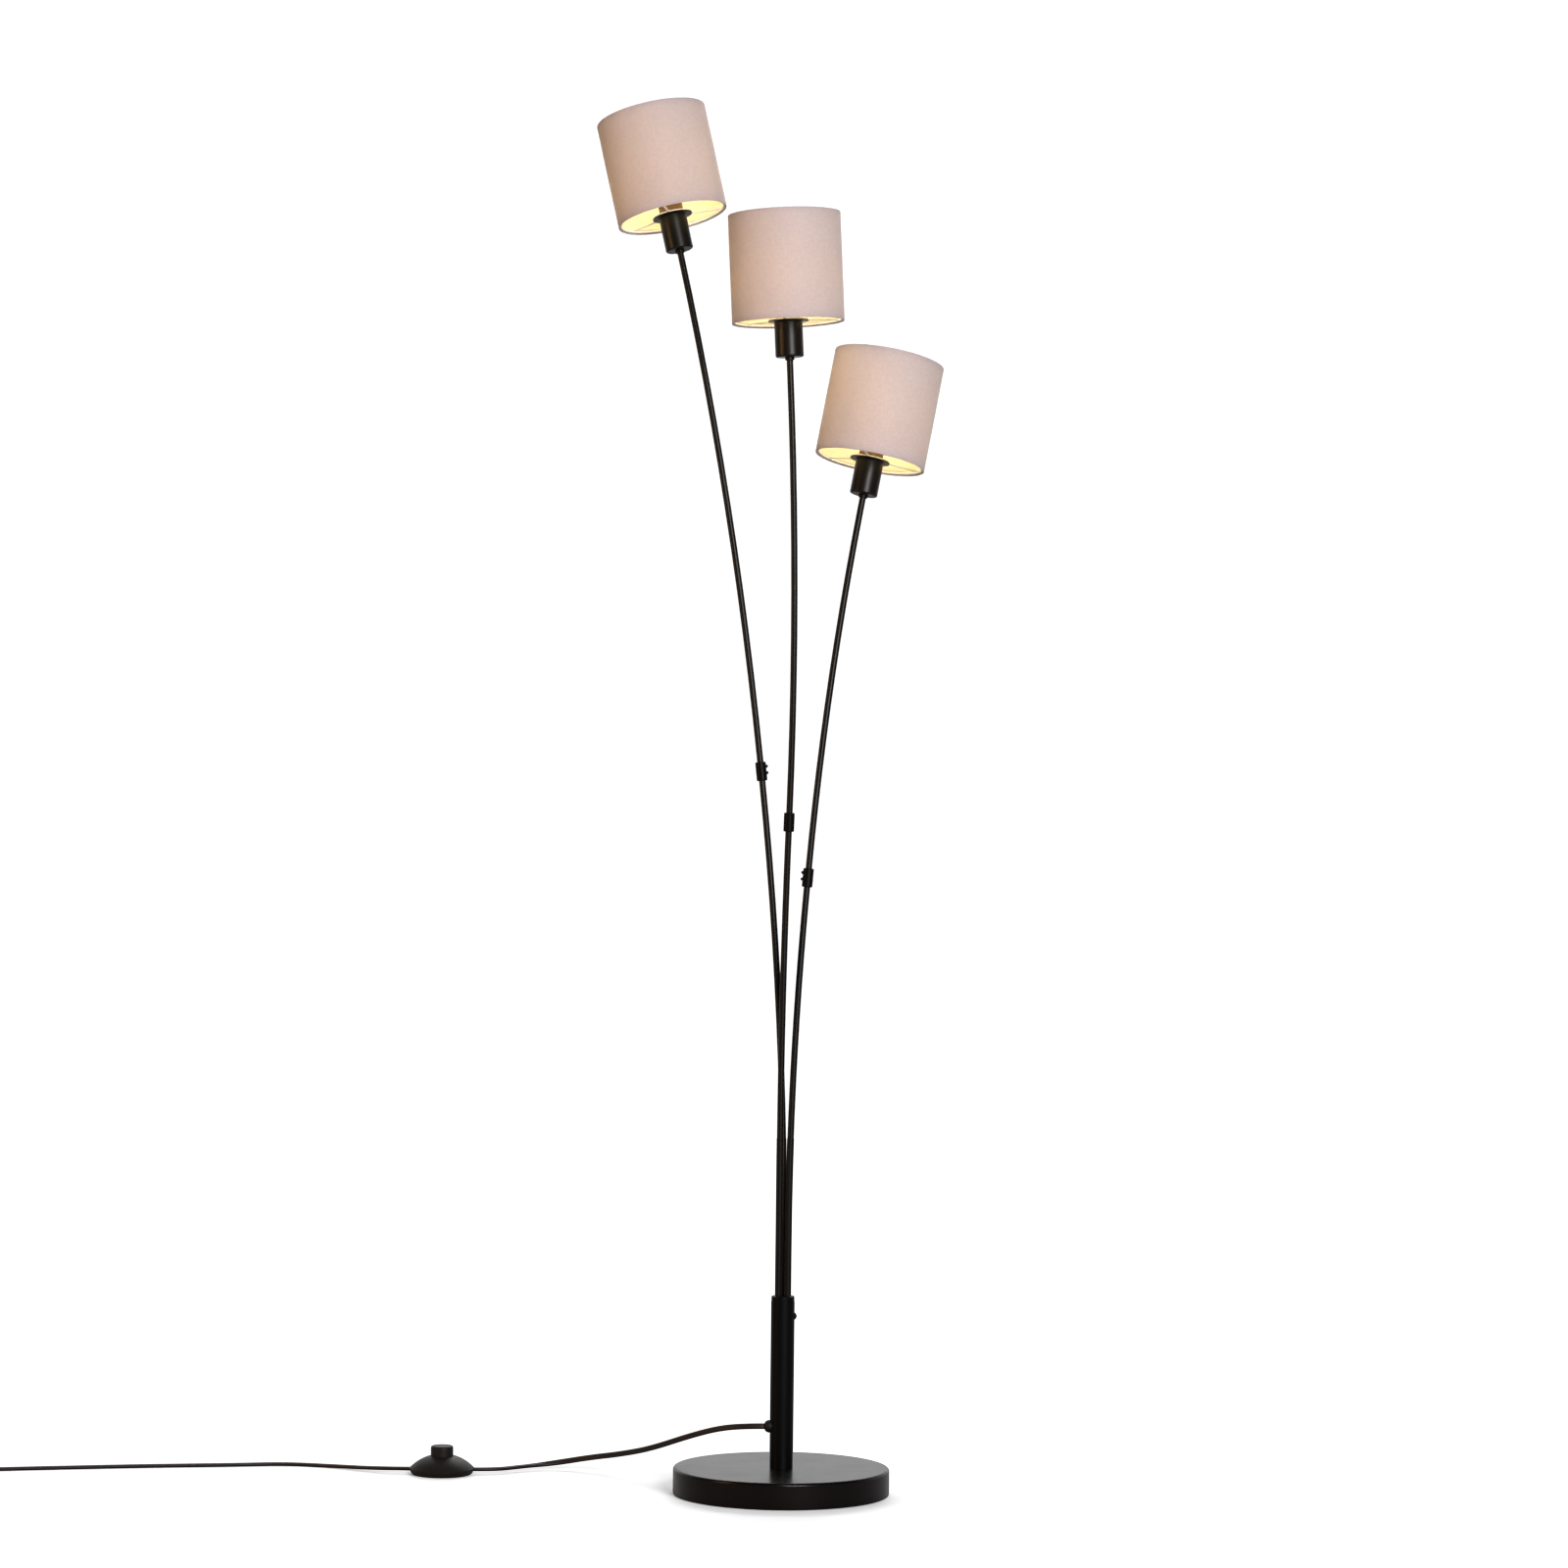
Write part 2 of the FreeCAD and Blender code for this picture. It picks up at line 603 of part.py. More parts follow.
def make_pole_screw():
    """The screw points at the axis; its head seats on the tube."""
    screw = domed_screw(
        "pole_screw", sized("pole_screw_head"), sized("pole_screw_rise"), sized("pole_screw_shank"),
        sized("pole_screw_length"))
    seat = Vector(sized("pole_diameter").number / 2, 0, POLE_SCREW_Z.number)
    keep(screw, "pole_screw", Placement(seat, Rotation(Vector(0, 1, 0), 90)))


def make_gland():
    """A domed gland on local Z, saddle-cut to the tube, with a neck through the tube's wall."""
    body = new_body("cord_gland")
    pole_radius = sized("pole_diameter") / 2
    tip = pole_radius + sized("gland_rise")
    rim = sized("gland_diameter") / 2
    nose = sized("gland_nose") / 2
    bore = sized("inner_cord_diameter") / 2 + sized("wire_clearance")
    neck = sized("gland_spigot") / 2
    saddle_start = pole_radius - sized("gland_sink")
    shoulder = pole_radius + sized("gland_shoulder")
    neck_start = pole_radius - sized("pole_wall") - sized("gland_neck_inside")
    revolve(body, "Dome", [
        (bore, saddle_start), (rim, saddle_start), (rim, shoulder, sized("gland_rise")), (nose, tip), (bore, tip),
    ])
    saddle = new_sketch(body, "YZ_Plane", "SaddleOutline")
    draw_circle(saddle, pole_radius + sized("press_clearance"))
    pocket(body, "Saddle", saddle, sized("gland_diameter") * 2, midplane=True)
    neck_ring = new_sketch(body, "XY_Plane", "NeckOutline", neck_start)
    draw_circle(neck_ring, neck)
    draw_circle(neck_ring, bore)
    pad(body, "Neck", neck_ring, shoulder - neck_start)
    keep(body, "cord_gland", gland_frame())


def gland_frame():
    """Local Z points left, out of the pole, from the pole's axis at the cord's height."""
    return Placement(Vector(0, 0, sized("cord_exit_height").number), Rotation(Vector(0, 1, 0), -90))


# ---------------------------------------------------------------- branches

def degrees_formula(text):
    return f"(1deg * {text})"


def bent_path(body, straight, arc_length, bend, end):
    """A path in the XZ plane: straight up from the origin, an arc towards +X, and a straight end."""
    angle = math.radians(bend.number)
    radius = Size(
        arc_length.number / angle, f"({arc_length.formula} * 180 / pi / {bend.formula})")
    sine = Size(math.sin(angle), f"sin{degrees_formula(bend.formula)}")
    cosine = Size(math.cos(angle), f"cos{degrees_formula(bend.formula)}")
    arc_x = radius * (as_size(1.0) - cosine)
    arc_z = straight + radius * sine
    path = new_sketch(body, "XZ_Plane", "Path")
    foot = Vector(0, 0, 0)
    arc_start = Vector(0, straight.number, 0)
    arc_end = Vector(arc_x.number, arc_z.number, 0)
    tip = arc_end + Vector(math.sin(angle), math.cos(angle), 0) * end.number
    path.addGeometry(Part.LineSegment(foot, arc_start))
    circle = Part.Circle(Vector(radius.number, straight.number, 0), Vector(0, 0, 1), radius.number)
    path.addGeometry(Part.ArcOfCircle(circle, math.pi - angle, math.pi))
    path.addGeometry(Part.LineSegment(arc_end, tip))
    path.addConstraint(Sketcher.Constraint("Coincident", 0, 1, -1, 1))
    path.addConstraint(Sketcher.Constraint("Coincident", 0, 2, 1, 2))
    path.addConstraint(Sketcher.Constraint("Coincident", 1, 1, 2, 1))
    drive(path, "DistanceX", (-1, 1), (0, 2), 0.0)
    drive(path, "DistanceY", (-1, 1), (0, 2), straight)
    drive(path, "DistanceX", (-1, 1), (1, 1), arc_x)
    drive(path, "DistanceY", (-1, 1), (1, 1), arc_z)
    drive_radius(path, 1, radius)
    drive(path, "DistanceX", (-1, 1), (2, 2), arc_x + end * sine)
    drive(path, "DistanceY", (-1, 1), (2, 2), arc_z + end * cosine)
    return path, Placement(Vector(tip.x, 0, tip.y), Rotation(Vector(0, 1, 0), bend.number))


def bent_tube(label, straight, arc_length, bend, end, diameter, bore=None):
    """A bent rod or wire: the section follows the path. Returns the body and its upper end's frame."""
    body = new_body(label)
    path, end_frame = bent_path(body, straight, arc_length, bend, end)
    section = new_sketch(body, "XY_Plane", "Section")
    draw_circle(section, diameter / 2)
    if bore is not None:
        draw_circle(section, bore / 2)
    pipe = body.newObject("PartDesign::AdditivePipe", "Sweep")
    pipe.Profile = section
    pipe.Spine = (path, [])
    return body, end_frame


def turn_z(angle):
    return Placement(Vector(0, 0, 0), Rotation(Vector(0, 0, 1), angle))


def up_by(distance):
    return Placement(Vector(0, 0, as_size(distance).number), Rotation())


class Branch:
    """The frames and lengths of one branch, from its plug hole to its lamp head."""

    def __init__(self, name):
        self.name = name
        figures = {key: sized(f"{name}_{key}") for key in BRANCH_SIZES[name]}
        self.figures = figures
        around = math.radians(90.0 + 360.0 / len(BRANCH_SIZES) * figures["hole"].number)
        reach = sized("rod_ring_diameter").number / 2
        foot = Vector(reach * math.cos(around), reach * math.sin(around), PLUG_BOTTOM.number)
        self.lower_frame = Placement(foot, Rotation(Vector(0, 0, 1), figures["lean"].number))
        self.lower_straight = PLUG_TOP - PLUG_BOTTOM + figures["rise"]
        self.lower_end = sized("sleeve_web_height")
        self.upper_straight = sized("sleeve_length") - sized("sleeve_web_height") - sized("sleeve_web")
        self.upper_end = (
            figures["end"] + sized("rod_nut_height") + sized("cup_wall") + sized("rod_entry"))


def make_lower_rod(branch):
    """Returns the frame of the sleeve: its origin is the sleeve's lower end, its Z the sleeve's axis."""
    figures = branch.figures
    label = f"lower_rod_{branch.name}"
    bore = sized("rod_diameter") - sized("rod_wall") * 2
    body, tip = bent_tube(
        label, branch.lower_straight, figures["lower_arc"], figures["lower_bend"], branch.lower_end,
        sized("rod_diameter"), bore)
    keep(body, label, branch.lower_frame)
    return branch.lower_frame * tip * up_by(-branch.lower_end)


def make_lower_wire(branch):
    """The wire runs from under the plug to the sleeve's web, where it fits closely."""
    figures = branch.figures
    body, _ = bent_tube(
        f"lower_wire_{branch.name}", branch.lower_straight, figures["lower_arc"], figures["lower_bend"],
        branch.lower_end + sized("sleeve_web") / 2, sized("wire_diameter"))
    body.Placement = branch.lower_frame
    return body


def make_connector(branch, sleeve_frame):
    """A sleeve with a blind bore at each end and a wire hole through its web."""
    label = f"connector_{branch.name}"
    body = new_body(label)
    outer = sized("sleeve_diameter") / 2
    bore = ROD_HOLE / 2
    wire_hole = sized("wire_diameter") / 2 + sized("wire_clearance")
    web_low = sized("sleeve_web_height")
    web_high = web_low + sized("sleeve_web")
    length = sized("sleeve_length")
    sleeve = revolve(body, "Sleeve", [
        (bore, 0.0), (outer, 0.0), (outer, length), (bore, length), (bore, web_high), (wire_hole, web_high),
        (wire_hole, web_low), (bore, web_low),
    ])
    soften(body, "EndChamfers", "Chamfer", sleeve, [(outer, 0.0), (outer, length)], sized("sleeve_chamfer"))
    holes = new_sketch(body, "YZ_Plane", "ScrewHoleOutline")
    for height in ("set_screw_low", "set_screw_high"):
        draw_circle(holes, sized("set_screw_diameter") / 2 + sized("press_clearance"), 0.0, sized(height))
    pocket(body, "ScrewHoles", holes, sized("sleeve_diameter"), reversed_way=True)
    keep(body, label, branch_screw_frame(branch, sleeve_frame))


def branch_screw_frame(branch, sleeve_frame):
    """The sleeve's frame turned so that its local +X is the side that the set screws face."""
    return sleeve_frame * turn_z(branch.figures["screw_side"].number - branch.figures["lean"].number)


def make_set_screws(branch, sleeve_frame):
    """Two headed set screws that reach from outside the sleeve to its bore."""
    length = sized("sleeve_diameter") / 2 - ROD_HOLE / 2
    screws = []
    for height in ("set_screw_low", "set_screw_high"):
        screw = domed_screw(
            f"set_screw_{branch.name}_{height}", sized("set_screw_head"), sized("set_screw_rise"),
            sized("set_screw_diameter"), length)
        seat = Placement(
            Vector(sized("sleeve_diameter").number / 2, 0, sized(height).number), Rotation(Vector(0, 1, 0), 90))
        screw.Placement = branch_screw_frame(branch, sleeve_frame) * seat
        screws.append(screw)
    return screws


def make_upper_rod(branch, sleeve_frame):
    """Returns the lamp head's frame: its origin is the nut's lower face, its Z the head's axis."""
    figures = branch.figures
    label = f"upper_rod_{branch.name}"
    web_top = sized("sleeve_web_height") + sized("sleeve_web")
    rod_frame = sleeve_frame * up_by(web_top) * turn_z(figures["turn"].number)
    bore = sized("rod_diameter") - sized("rod_wall") * 2
    body, tip = bent_tube(
        label, branch.upper_straight, figures["upper_arc"], figures["upper_bend"], branch.upper_end,
        sized("rod_diameter"), bore)
    keep(body, label, rod_frame)
    make_lamp_wire(branch, rod_frame)
    inside = sized("rod_nut_height") + sized("cup_wall") + sized("rod_entry")
    world_turn = figures["lean"] + figures["turn"]
    return rod_frame * tip * up_by(-inside) * turn_z(sized("arm_turn").number - world_turn.number)


def make_lamp_wire(branch, rod_frame):
    """The wire inside the upper rod, up to the lamp holder's foot."""
    label = f"lamp_wire_{branch.name}"
    holder_floor = sized("holder_foot_gap") + sized("holder_hub_height") - sized("rod_entry")
    body, _ = bent_tube(
        label, branch.upper_straight, branch.figures["upper_arc"], branch.figures["upper_bend"],
        branch.upper_end + holder_floor - sized("wire_clearance"), sized("wire_diameter"))
    keep(body, label, rod_frame)


# ---------------------------------------------------------------- lamp heads

CUP_FLOOR = sized("rod_nut_height") + sized("cup_wall")
FLANGE_TOP = sized("rod_nut_height") + sized("cup_height")
HOLDER_TOP = FLANGE_TOP + sized("holder_rise")
SHADE_BOTTOM = FLANGE_TOP - sized("shade_drop")
SHADE_TOP = SHADE_BOTTOM + sized("shade_height")
FITTER_TOP = FLANGE_TOP + sized("fitter_thickness")
HOLDER_NECK = sized("holder_diameter") / 2 - sized("collar_wall")
RING_RADIUS = (
    sized("shade_diameter") / 2 - sized("shade_wall") - sized("shade_hem_extra") - sized("ring_clearance")
    - sized("ring_wire") / 2)


def make_rod_nut(name, head_frame):
    label = f"rod_nut_{name}"
    body = new_body(label)
    outer, bore, height = sized("rod_nut_diameter") / 2, ROD_HOLE / 2, sized("rod_nut_height")
    ring = revolve(body, "Nut", [(bore, 0.0), (outer, 0.0), (outer, height), (bore, height)])
    soften(body, "Chamfer", "Chamfer", ring, [(outer, 0.0)], sized("rod_nut_chamfer"))
    keep(body, label, head_frame)


def make_holder_cup(name, head_frame):
    """A drawn metal cup with a rod hole in its floor and a flange at its mouth."""
    label = f"holder_cup_{name}"
    body = new_body(label)
    outer = sized("cup_diameter") / 2
    wall = sized("cup_wall")
    flange = sized("flange_diameter") / 2
    floor = sized("rod_nut_height")
    cup = revolve(body, "Cup", [
        (ROD_HOLE / 2, floor), (outer, floor), (outer, FLANGE_TOP - wall), (flange, FLANGE_TOP - wall),
        (flange, FLANGE_TOP), (outer - wall, FLANGE_TOP), (outer - wall, CUP_FLOOR), (ROD_HOLE / 2, CUP_FLOOR),
    ])
    rounds = soften(body, "FloorRound", "Fillet", cup, [(outer, floor)], sized("cup_round"))
    soften(body, "FlangeRound", "Fillet", rounds, [(outer, FLANGE_TOP - wall)], sized("cup_wall"))
    keep(body, label, head_frame)


def make_lamp_holder(name, head_frame):
    """An insulating body: a foot on the rod, a barrel and a socket for the bulb's cap."""
    label = f"lamp_holder_{name}"
    body = new_body(label)
    foot = CUP_FLOOR + sized("holder_foot_gap")
    hub_top = foot + sized("holder_hub_height")
    barrel = sized("holder_diameter") / 2
    socket = sized("holder_socket_diameter") / 2
    socket_floor = HOLDER_TOP - sized("holder_socket_depth")
    hub = sized("holder_hub_diameter") / 2
    revolve(body, "Holder", [
        (ROD_HOLE / 2, foot), (hub, foot), (hub, hub_top), (barrel, hub_top), (barrel, FLANGE_TOP),
        (HOLDER_NECK, FLANGE_TOP), (HOLDER_NECK, HOLDER_TOP), (socket, HOLDER_TOP), (socket, socket_floor),
        (0.0, socket_floor), (0.0, hub_top), (ROD_HOLE / 2, hub_top),
    ])
    keep(body, label, head_frame)


def make_holder_collar(name, head_frame):
    """The threaded collar that clamps the shade's fitter ring on the flange."""
    bore = (HOLDER_NECK + sized("collar_clearance")) * 2
    turned_ring(
        f"holder_collar_{name}", bore, sized("holder_diameter"), FITTER_TOP, HOLDER_TOP - FITTER_TOP, head_frame)


def make_shade_frame(name, head_frame):
    """The white spider: fitter ring, three arms and the bottom ring."""
    label = f"shade_frame_{name}"
    body = new_body(label)
    bore = HOLDER_NECK + sized("collar_clearance")
    fitter = sized("fitter_diameter") / 2
    arm = sized("arm_diameter") / 2
    arm_height = FLANGE_TOP + arm
    revolve(body, "Fitter", [(bore, FLANGE_TOP), (fitter, FLANGE_TOP), (fitter, FITTER_TOP), (bore, FITTER_TOP)])
    arm_start = fitter - sized("arm_diameter")
    arm_outline = new_sketch(body, "YZ_Plane", "ArmOutline", arm_start)
    draw_circle(arm_outline, arm, 0.0, arm_height)
    spoke = pad(body, "Arm", arm_outline, RING_RADIUS - arm_start)
    round_pattern(body, "Arms", [spoke], 3)
    doc.recompute()
    ring_outline = new_sketch(body, "XZ_Plane", "BottomRingOutline")
    draw_circle(ring_outline, sized("ring_wire") / 2, RING_RADIUS, SHADE_BOTTOM + sized("ring_inset"))
    ring = body.newObject("PartDesign::Revolution", "BottomRing")
    ring.Profile = ring_outline
    ring.ReferenceAxis = (ring_outline, ["V_Axis"])
    ring.Angle = 360.0
    keep(body, label, head_frame)


def make_shade_ring(name, head_frame):
    """The wire ring in the shade's top hem."""
    label = f"shade_ring_{name}"
    body = new_body(label)
    outline = new_sketch(body, "XZ_Plane", "TopRingOutline")
    draw_circle(outline, sized("ring_wire") / 2, RING_RADIUS, SHADE_TOP - sized("ring_inset"))
    ring = body.newObject("PartDesign::Revolution", "TopRing")
    ring.Profile = outline
    ring.ReferenceAxis = (outline, ["V_Axis"])
    ring.Angle = 360.0
    keep(body, label, head_frame)


def make_shade_drum(name, head_frame):
    """A fabric cylinder, open at both ends, with turned-in edges."""
    label = f"shade_drum_{name}"
    body = new_body(label)
    outer = sized("shade_diameter") / 2
    inner = outer - sized("shade_wall")
    hem = inner - sized("shade_hem_extra")
    low, high = SHADE_BOTTOM, SHADE_TOP
    hem_height = sized("shade_hem_height")
    revolve(body, "Drum", [
        (hem, low), (outer, low), (outer, high), (hem, high), (hem, high - hem_height),
        (inner, high - hem_height), (inner, low + hem_height), (hem, low + hem_height),
    ])
    keep(body, label, head_frame)


def make_bulb(name, head_frame):
    """A golf-ball bulb: a metal cap in the socket and a glass globe on a short neck."""
    tip = HOLDER_TOP - sized("holder_socket_depth") + sized("bulb_seat")
    cap_top = tip + sized("bulb_cap_length")
    cap = sized("bulb_cap_diameter") / 2
    cap_body = new_body(f"cap_{name}")
    cap_blank = revolve(cap_body, "Cap", [(0.0, tip), (cap, tip), (cap, cap_top), (0.0, cap_top)])
    soften(cap_body, "TipChamfer", "Chamfer", cap_blank, [(cap, tip)], sized("bulb_tip_chamfer"))

    globe = sized("bulb_diameter") / 2
    neck = sized("bulb_neck_diameter") / 2
    centre = tip + sized("bulb_length") - globe
    reach = math.sqrt(globe.number ** 2 - neck.number ** 2)
    neck_top = centre - Size(reach, f"sqrt({globe.formula}^2 - {neck.formula}^2)")
    glass = new_body(f"glass_{name}")
    revolve(glass, "Glass", [
        (0.0, cap_top), (neck, cap_top), (neck, neck_top, globe), (globe, centre, globe), (0.0, centre + globe),
    ])
    bulb = doc.addObject("Part::Compound", f"Bulb_{name}")
    bulb.Links = [cap_body, glass]
    keep(bulb, f"bulb_{name}", head_frame)


def make_head(name, head_frame):
    make_rod_nut(name, head_frame)
    make_holder_cup(name, head_frame)
    make_lamp_holder(name, head_frame)
    make_holder_collar(name, head_frame)
    make_shade_frame(name, head_frame)
    make_shade_ring(name, head_frame)
    make_shade_drum(name, head_frame)
    make_bulb(name, head_frame)


def make_branches():
    wires = []
    screws = []
    for name in BRANCH_SIZES:
        branch = Branch(name)
        sleeve_frame = make_lower_rod(branch)
        wires.append(make_lower_wire(branch))
        make_connector(branch, sleeve_frame)
        screws.extend(make_set_screws(branch, sleeve_frame))
        head_frame = make_upper_rod(branch, sleeve_frame)
        make_head(name, head_frame)
        axis = sleeve_frame.Rotation.multVec(Vector(0, 0, 1))
        middle = sleeve_frame.multVec(Vector(0, 0, sized("sleeve_length").number / 2))
        print(f"{name}: rod turns about {tuple(round(v, 6) for v in axis)} at {tuple(round(v, 3) for v in middle)}")
        print(f"{name}: head {tuple(round(v, 3) for v in head_frame.Base)}, "
              f"axis {tuple(round(v, 6) for v in head_frame.Rotation.multVec(Vector(0, 0, 1)))}")
    for label, solids in (("lower_wires", wires), ("connector_screws", screws)):
        group = doc.addObject("Part::Compound", "Group_" + label)
        group.Links = solids
        keep(group, label)


# ---------------------------------------------------------------- wiring in the pole

def make_terminal_block():
    """A round block under the plug; the three wires and the inner cord meet it."""
    body = new_body("terminal_block")
    radius = sized("rod_ring_diameter") / 2 + sized("wire_diameter") / 2
    height = sized("plug_skirt_length")
    top = PLUG_BOTTOM - sized("wire_clearance")
    revolve(body, "Block", [(0.0, top - height), (radius, top - height), (radius, top), (0.0, top)])
    keep(body, "terminal_block")


def make_inner_cord():
    """The cord inside the pole: out through the gland's bore, and up to the terminal block."""
    block_bottom = PLUG_BOTTOM - sized("wire_clearance") - sized("plug_skirt_length")
    tip = sized("pole_diameter").number / 2 + sized("gland_rise").number
    height = sized("cord_exit_height").number
    radius = sized("inner_cord_diameter").number / 2
    bend = sized("pole_diameter").number / 2 - sized("pole_wall").number - radius
    path = route_wire([
        Vector(-tip, 0, height),
        Vector(0, 0, height),
        Vector(0, 0, block_bottom.number - sized("wire_clearance").number),
    ], radius=bend)
    cord = doc.addObject("Part::Feature", "InnerCord")
    cord.Shape = swept_tube(path, radius)
    keep(cord, "inner_cord")


# ---------------------------------------------------------------- cord

CORD_RADIUS = sized("cord_diameter").number / 2
SWITCH_CENTRE = Vector(sized("switch_x").number, sized("switch_y").number, 0)
SWITCH_SIDE = sized("switch_diameter").number / 2
CORD_PORT = sized("switch_cord_height").number
CORD_DEPTH = sized("switch_cord_depth").number
GLAND_TIP = Vector(
    -(sized("pole_diameter").number / 2 + sized("gland_rise").number), 0, sized("cord_exit_height").number)
COIL_START = Vector(sized("coil_x").number, sized("coil_y").number, CORD_RADIUS)

# From the gland, level at first, down past the base's edge and over the floor to the switch.
LEAD_ROUTE = [
    GLAND_TIP,
    GLAND_TIP + Vector(-18.0, 0, 0),
    Vector(-65.5, 12.0, 67.0),
    Vector(-98.0, 40.0, 54.4),
    Vector(-142.0, 85.0, 33.5),
    Vector(-176.4, 125.0, 21.4),
    Vector(-211.0, 152.0, 13.5),
    Vector(-252.0, 157.0, CORD_RADIUS),
    Vector(-289.0, 137.0, CORD_RADIUS),
    SWITCH_CENTRE + Vector(SWITCH_SIDE + 23.5, 0, CORD_PORT),
    SWITCH_CENTRE + Vector(SWITCH_SIDE - CORD_DEPTH, 0, CORD_PORT),
]

# From the switch over the floor to the coil.
TAIL_ROUTE = [
    SWITCH_CENTRE + Vector(-SWITCH_SIDE + CORD_DEPTH, 0, CORD_PORT),
    SWITCH_CENTRE + Vector(-SWITCH_SIDE - 22.5, 0, CORD_PORT),
    Vector(-458.0, 131.0, CORD_RADIUS),
    Vector(-505.0, 152.0, CORD_RADIUS),
    Vector(-568.0, 160.5, CORD_RADIUS),
    Vector(-640.0, 150.5, CORD_RADIUS),
    Vector(-716.0, 134.0, CORD_RADIUS),
    Vector(-788.0, 112.5, CORD_RADIUS),
    Vector(-848.0, 98.0, CORD_RADIUS),
    COIL_START + Vector(49.0, 2.0, 0),
    COIL_START + Vector(24.0, 0, 0),
    COIL_START,
]


def route_wire(points, radius=None, label=None):
    """Straight runs joined by tangent arcs. Unless a radius is given, an arc's radius is 0.45 of the
    shorter run over the tangent of half the turn."""
    edges = []
    radii = []
    last = points[0]
    for before, corner, after in zip(points, points[1:], points[2:]):
        incoming, outgoing = corner - before, after - corner
        turn = incoming.getAngle(outgoing)
        cut = 0.45 * min(incoming.Length, outgoing.Length)
        if radius is not None:
            cut = radius * math.tan(turn / 2)
        radii.append(cut / math.tan(turn / 2))
        start = corner - Vector(incoming).normalize() * cut
        end = corner + Vector(outgoing).normalize() * cut
        inward = ((start + end) * 0.5 - corner).normalize()
        centre_distance = radii[-1] / math.cos(turn / 2)
        middle = corner + inward * (centre_distance - radii[-1])
        edges.append(Part.LineSegment(last, start).toShape())
        edges.append(Part.Arc(start, middle, end).toShape())
        last = end
    edges.append(Part.LineSegment(last, points[-1]).toShape())
    if label is not None:
        print(f"{label}: radii {[round(r, 1) for r in radii]}, smallest {min(radii):.1f} mm")
    return Part.Wire(edges)


def swept_tube(path, radius):
    """A round tube along a wire, with its volume compared with section times length."""
    start = path.Edges[0].valueAt(path.Edges[0].FirstParameter)
    heading = path.Edges[0].tangentAt(path.Edges[0].FirstParameter)
    section = Part.Wire([Part.Circle(start, heading, radius).toShape()])
    tube = path.makePipeShell([section], True, False)
    expected = math.pi * radius ** 2 * path.Length
    if abs(tube.Volume / expected - 1.0) > 0.01:
        raise ValueError(f"tube volume {tube.Volume:.1f}, expected {expected:.1f}")
    return tube


def make_cords():
    for label, route in (("cord_lead", LEAD_ROUTE), ("cord_tail", TAIL_ROUTE)):
        path = route_wire(route, label=label)
        cord = doc.addObject("Part::Feature", "Tube_" + label)
        cord.Shape = swept_tube(path, CORD_RADIUS)
        print(f"{label}: length {path.Length:.1f} mm")
        keep(cord, label)


def biarc(start, heading, end, end_heading):
    """Two tangent arcs from start to end, leaving and arriving on the given headings."""
    chord = end - start
    total = heading + end_heading
    a = 2.0 * (heading.dot(end_heading) - 1.0)
    b = -2.0 * chord.dot(total)
    c = chord.dot(chord)
    if abs(a) < 1e-9:
        reach = -c / b
    else:
        reach = (-b - math.sqrt(b * b - 4.0 * a * c)) / (2.0 * a)
    joint = ((start + heading * reach) + (end - end_heading * reach)) * 0.5
    middle_heading = ((end - end_heading * reach) - (start + heading * reach)).normalize()
    first = tangent_arc(start, heading, joint)
    second = tangent_arc(joint, middle_heading, end)
    return [first, second]


def tangent_arc(start, heading, end):
    chord = end - start
    across = (chord - heading * chord.dot(heading)).normalize()
    angle = 2.0 * math.acos(chord.dot(heading) / chord.Length)
    radius = chord.Length / (2.0 * math.sin(angle / 2.0))
    half = angle / 2.0
    middle = start + heading * (radius * math.sin(half)) + across * (radius * (1.0 - math.cos(half)))
    return Part.Arc(start, middle, end).toShape()


def coil_wire():
    """Two layers: the lower one spirals in by half turns, the tube climbs through one half turn where
    the spiral reverses, and the upper one spirals out and comes down to the height of the plug's axis.
    Both ends are straight for one tube diameter."""
    step = (sized("cord_diameter").number + sized("coil_gap").number) / 2
    rise = sized("cord_diameter").number + sized("coil_gap").number
    halves = int(sized("coil_half_turns").number)
    inner = sized("coil_inner_radius").number
    lead = sized("cord_diameter").number
    # the cord arrives heading -X and the coil turns to the left, towards -Y
    point = COIL_START + Vector(-lead, 0, 0)
    edges = [Part.LineSegment(COIL_START, point).toShape()]
    heading = Vector(-1, 0, 0)
    for index in range(halves):
        radius = inner + step * (halves - index)
        edges, point, heading = add_half_turn(edges, point, heading, radius, 0.0)
    edges, point, heading = add_half_turn(edges, point, heading, inner, rise)
    for index in range(halves):
        radius = inner + step * (index + 1)
        edges, point, heading = add_half_turn(edges, point, heading, radius, 0.0)
    off_point = point + heading * sized("coil_exit").number
    edges.append(Part.LineSegment(point, off_point).toShape())
    floor_point = off_point + heading * sized("coil_descent").number
    floor_point.z = sized("plug_thickness").number / 2
    edges += biarc(off_point, heading, floor_point, heading)
    tip = floor_point + heading * lead
    edges.append(Part.LineSegment(floor_point, tip).toShape())
    return Part.Wire(edges), tip, heading


def helix_wire(radius, bottom, top, turns):
    """A helix round Z, each quarter turn drawn as two tangent arcs."""
    quarters = int(turns * 4)
    rise = (top - bottom) / (turns * 2.0 * math.pi)
    stations = []
    for index in range(quarters + 1):
        angle = index * math.pi / 2
        out = Vector(math.cos(angle), math.sin(angle), 0)
        heading = Vector(-out.y * radius, out.x * radius, rise).normalize()
        stations.append((out * radius + Vector(0, 0, bottom + rise * angle), heading))
    edges = []
    for (start, heading), (end, end_heading) in zip(stations, stations[1:]):
        edges += biarc(start, heading, end, end_heading)
    return Part.Wire(edges)


def add_half_turn(edges, point, heading, radius, climb):
    """Half a turn to the left round the vertical, which may climb."""
    left = Vector(-heading.y, heading.x, 0)
    end = point + left * (2.0 * radius) + Vector(0, 0, climb)
    return edges + biarc(point, heading, end, -heading), end, -heading


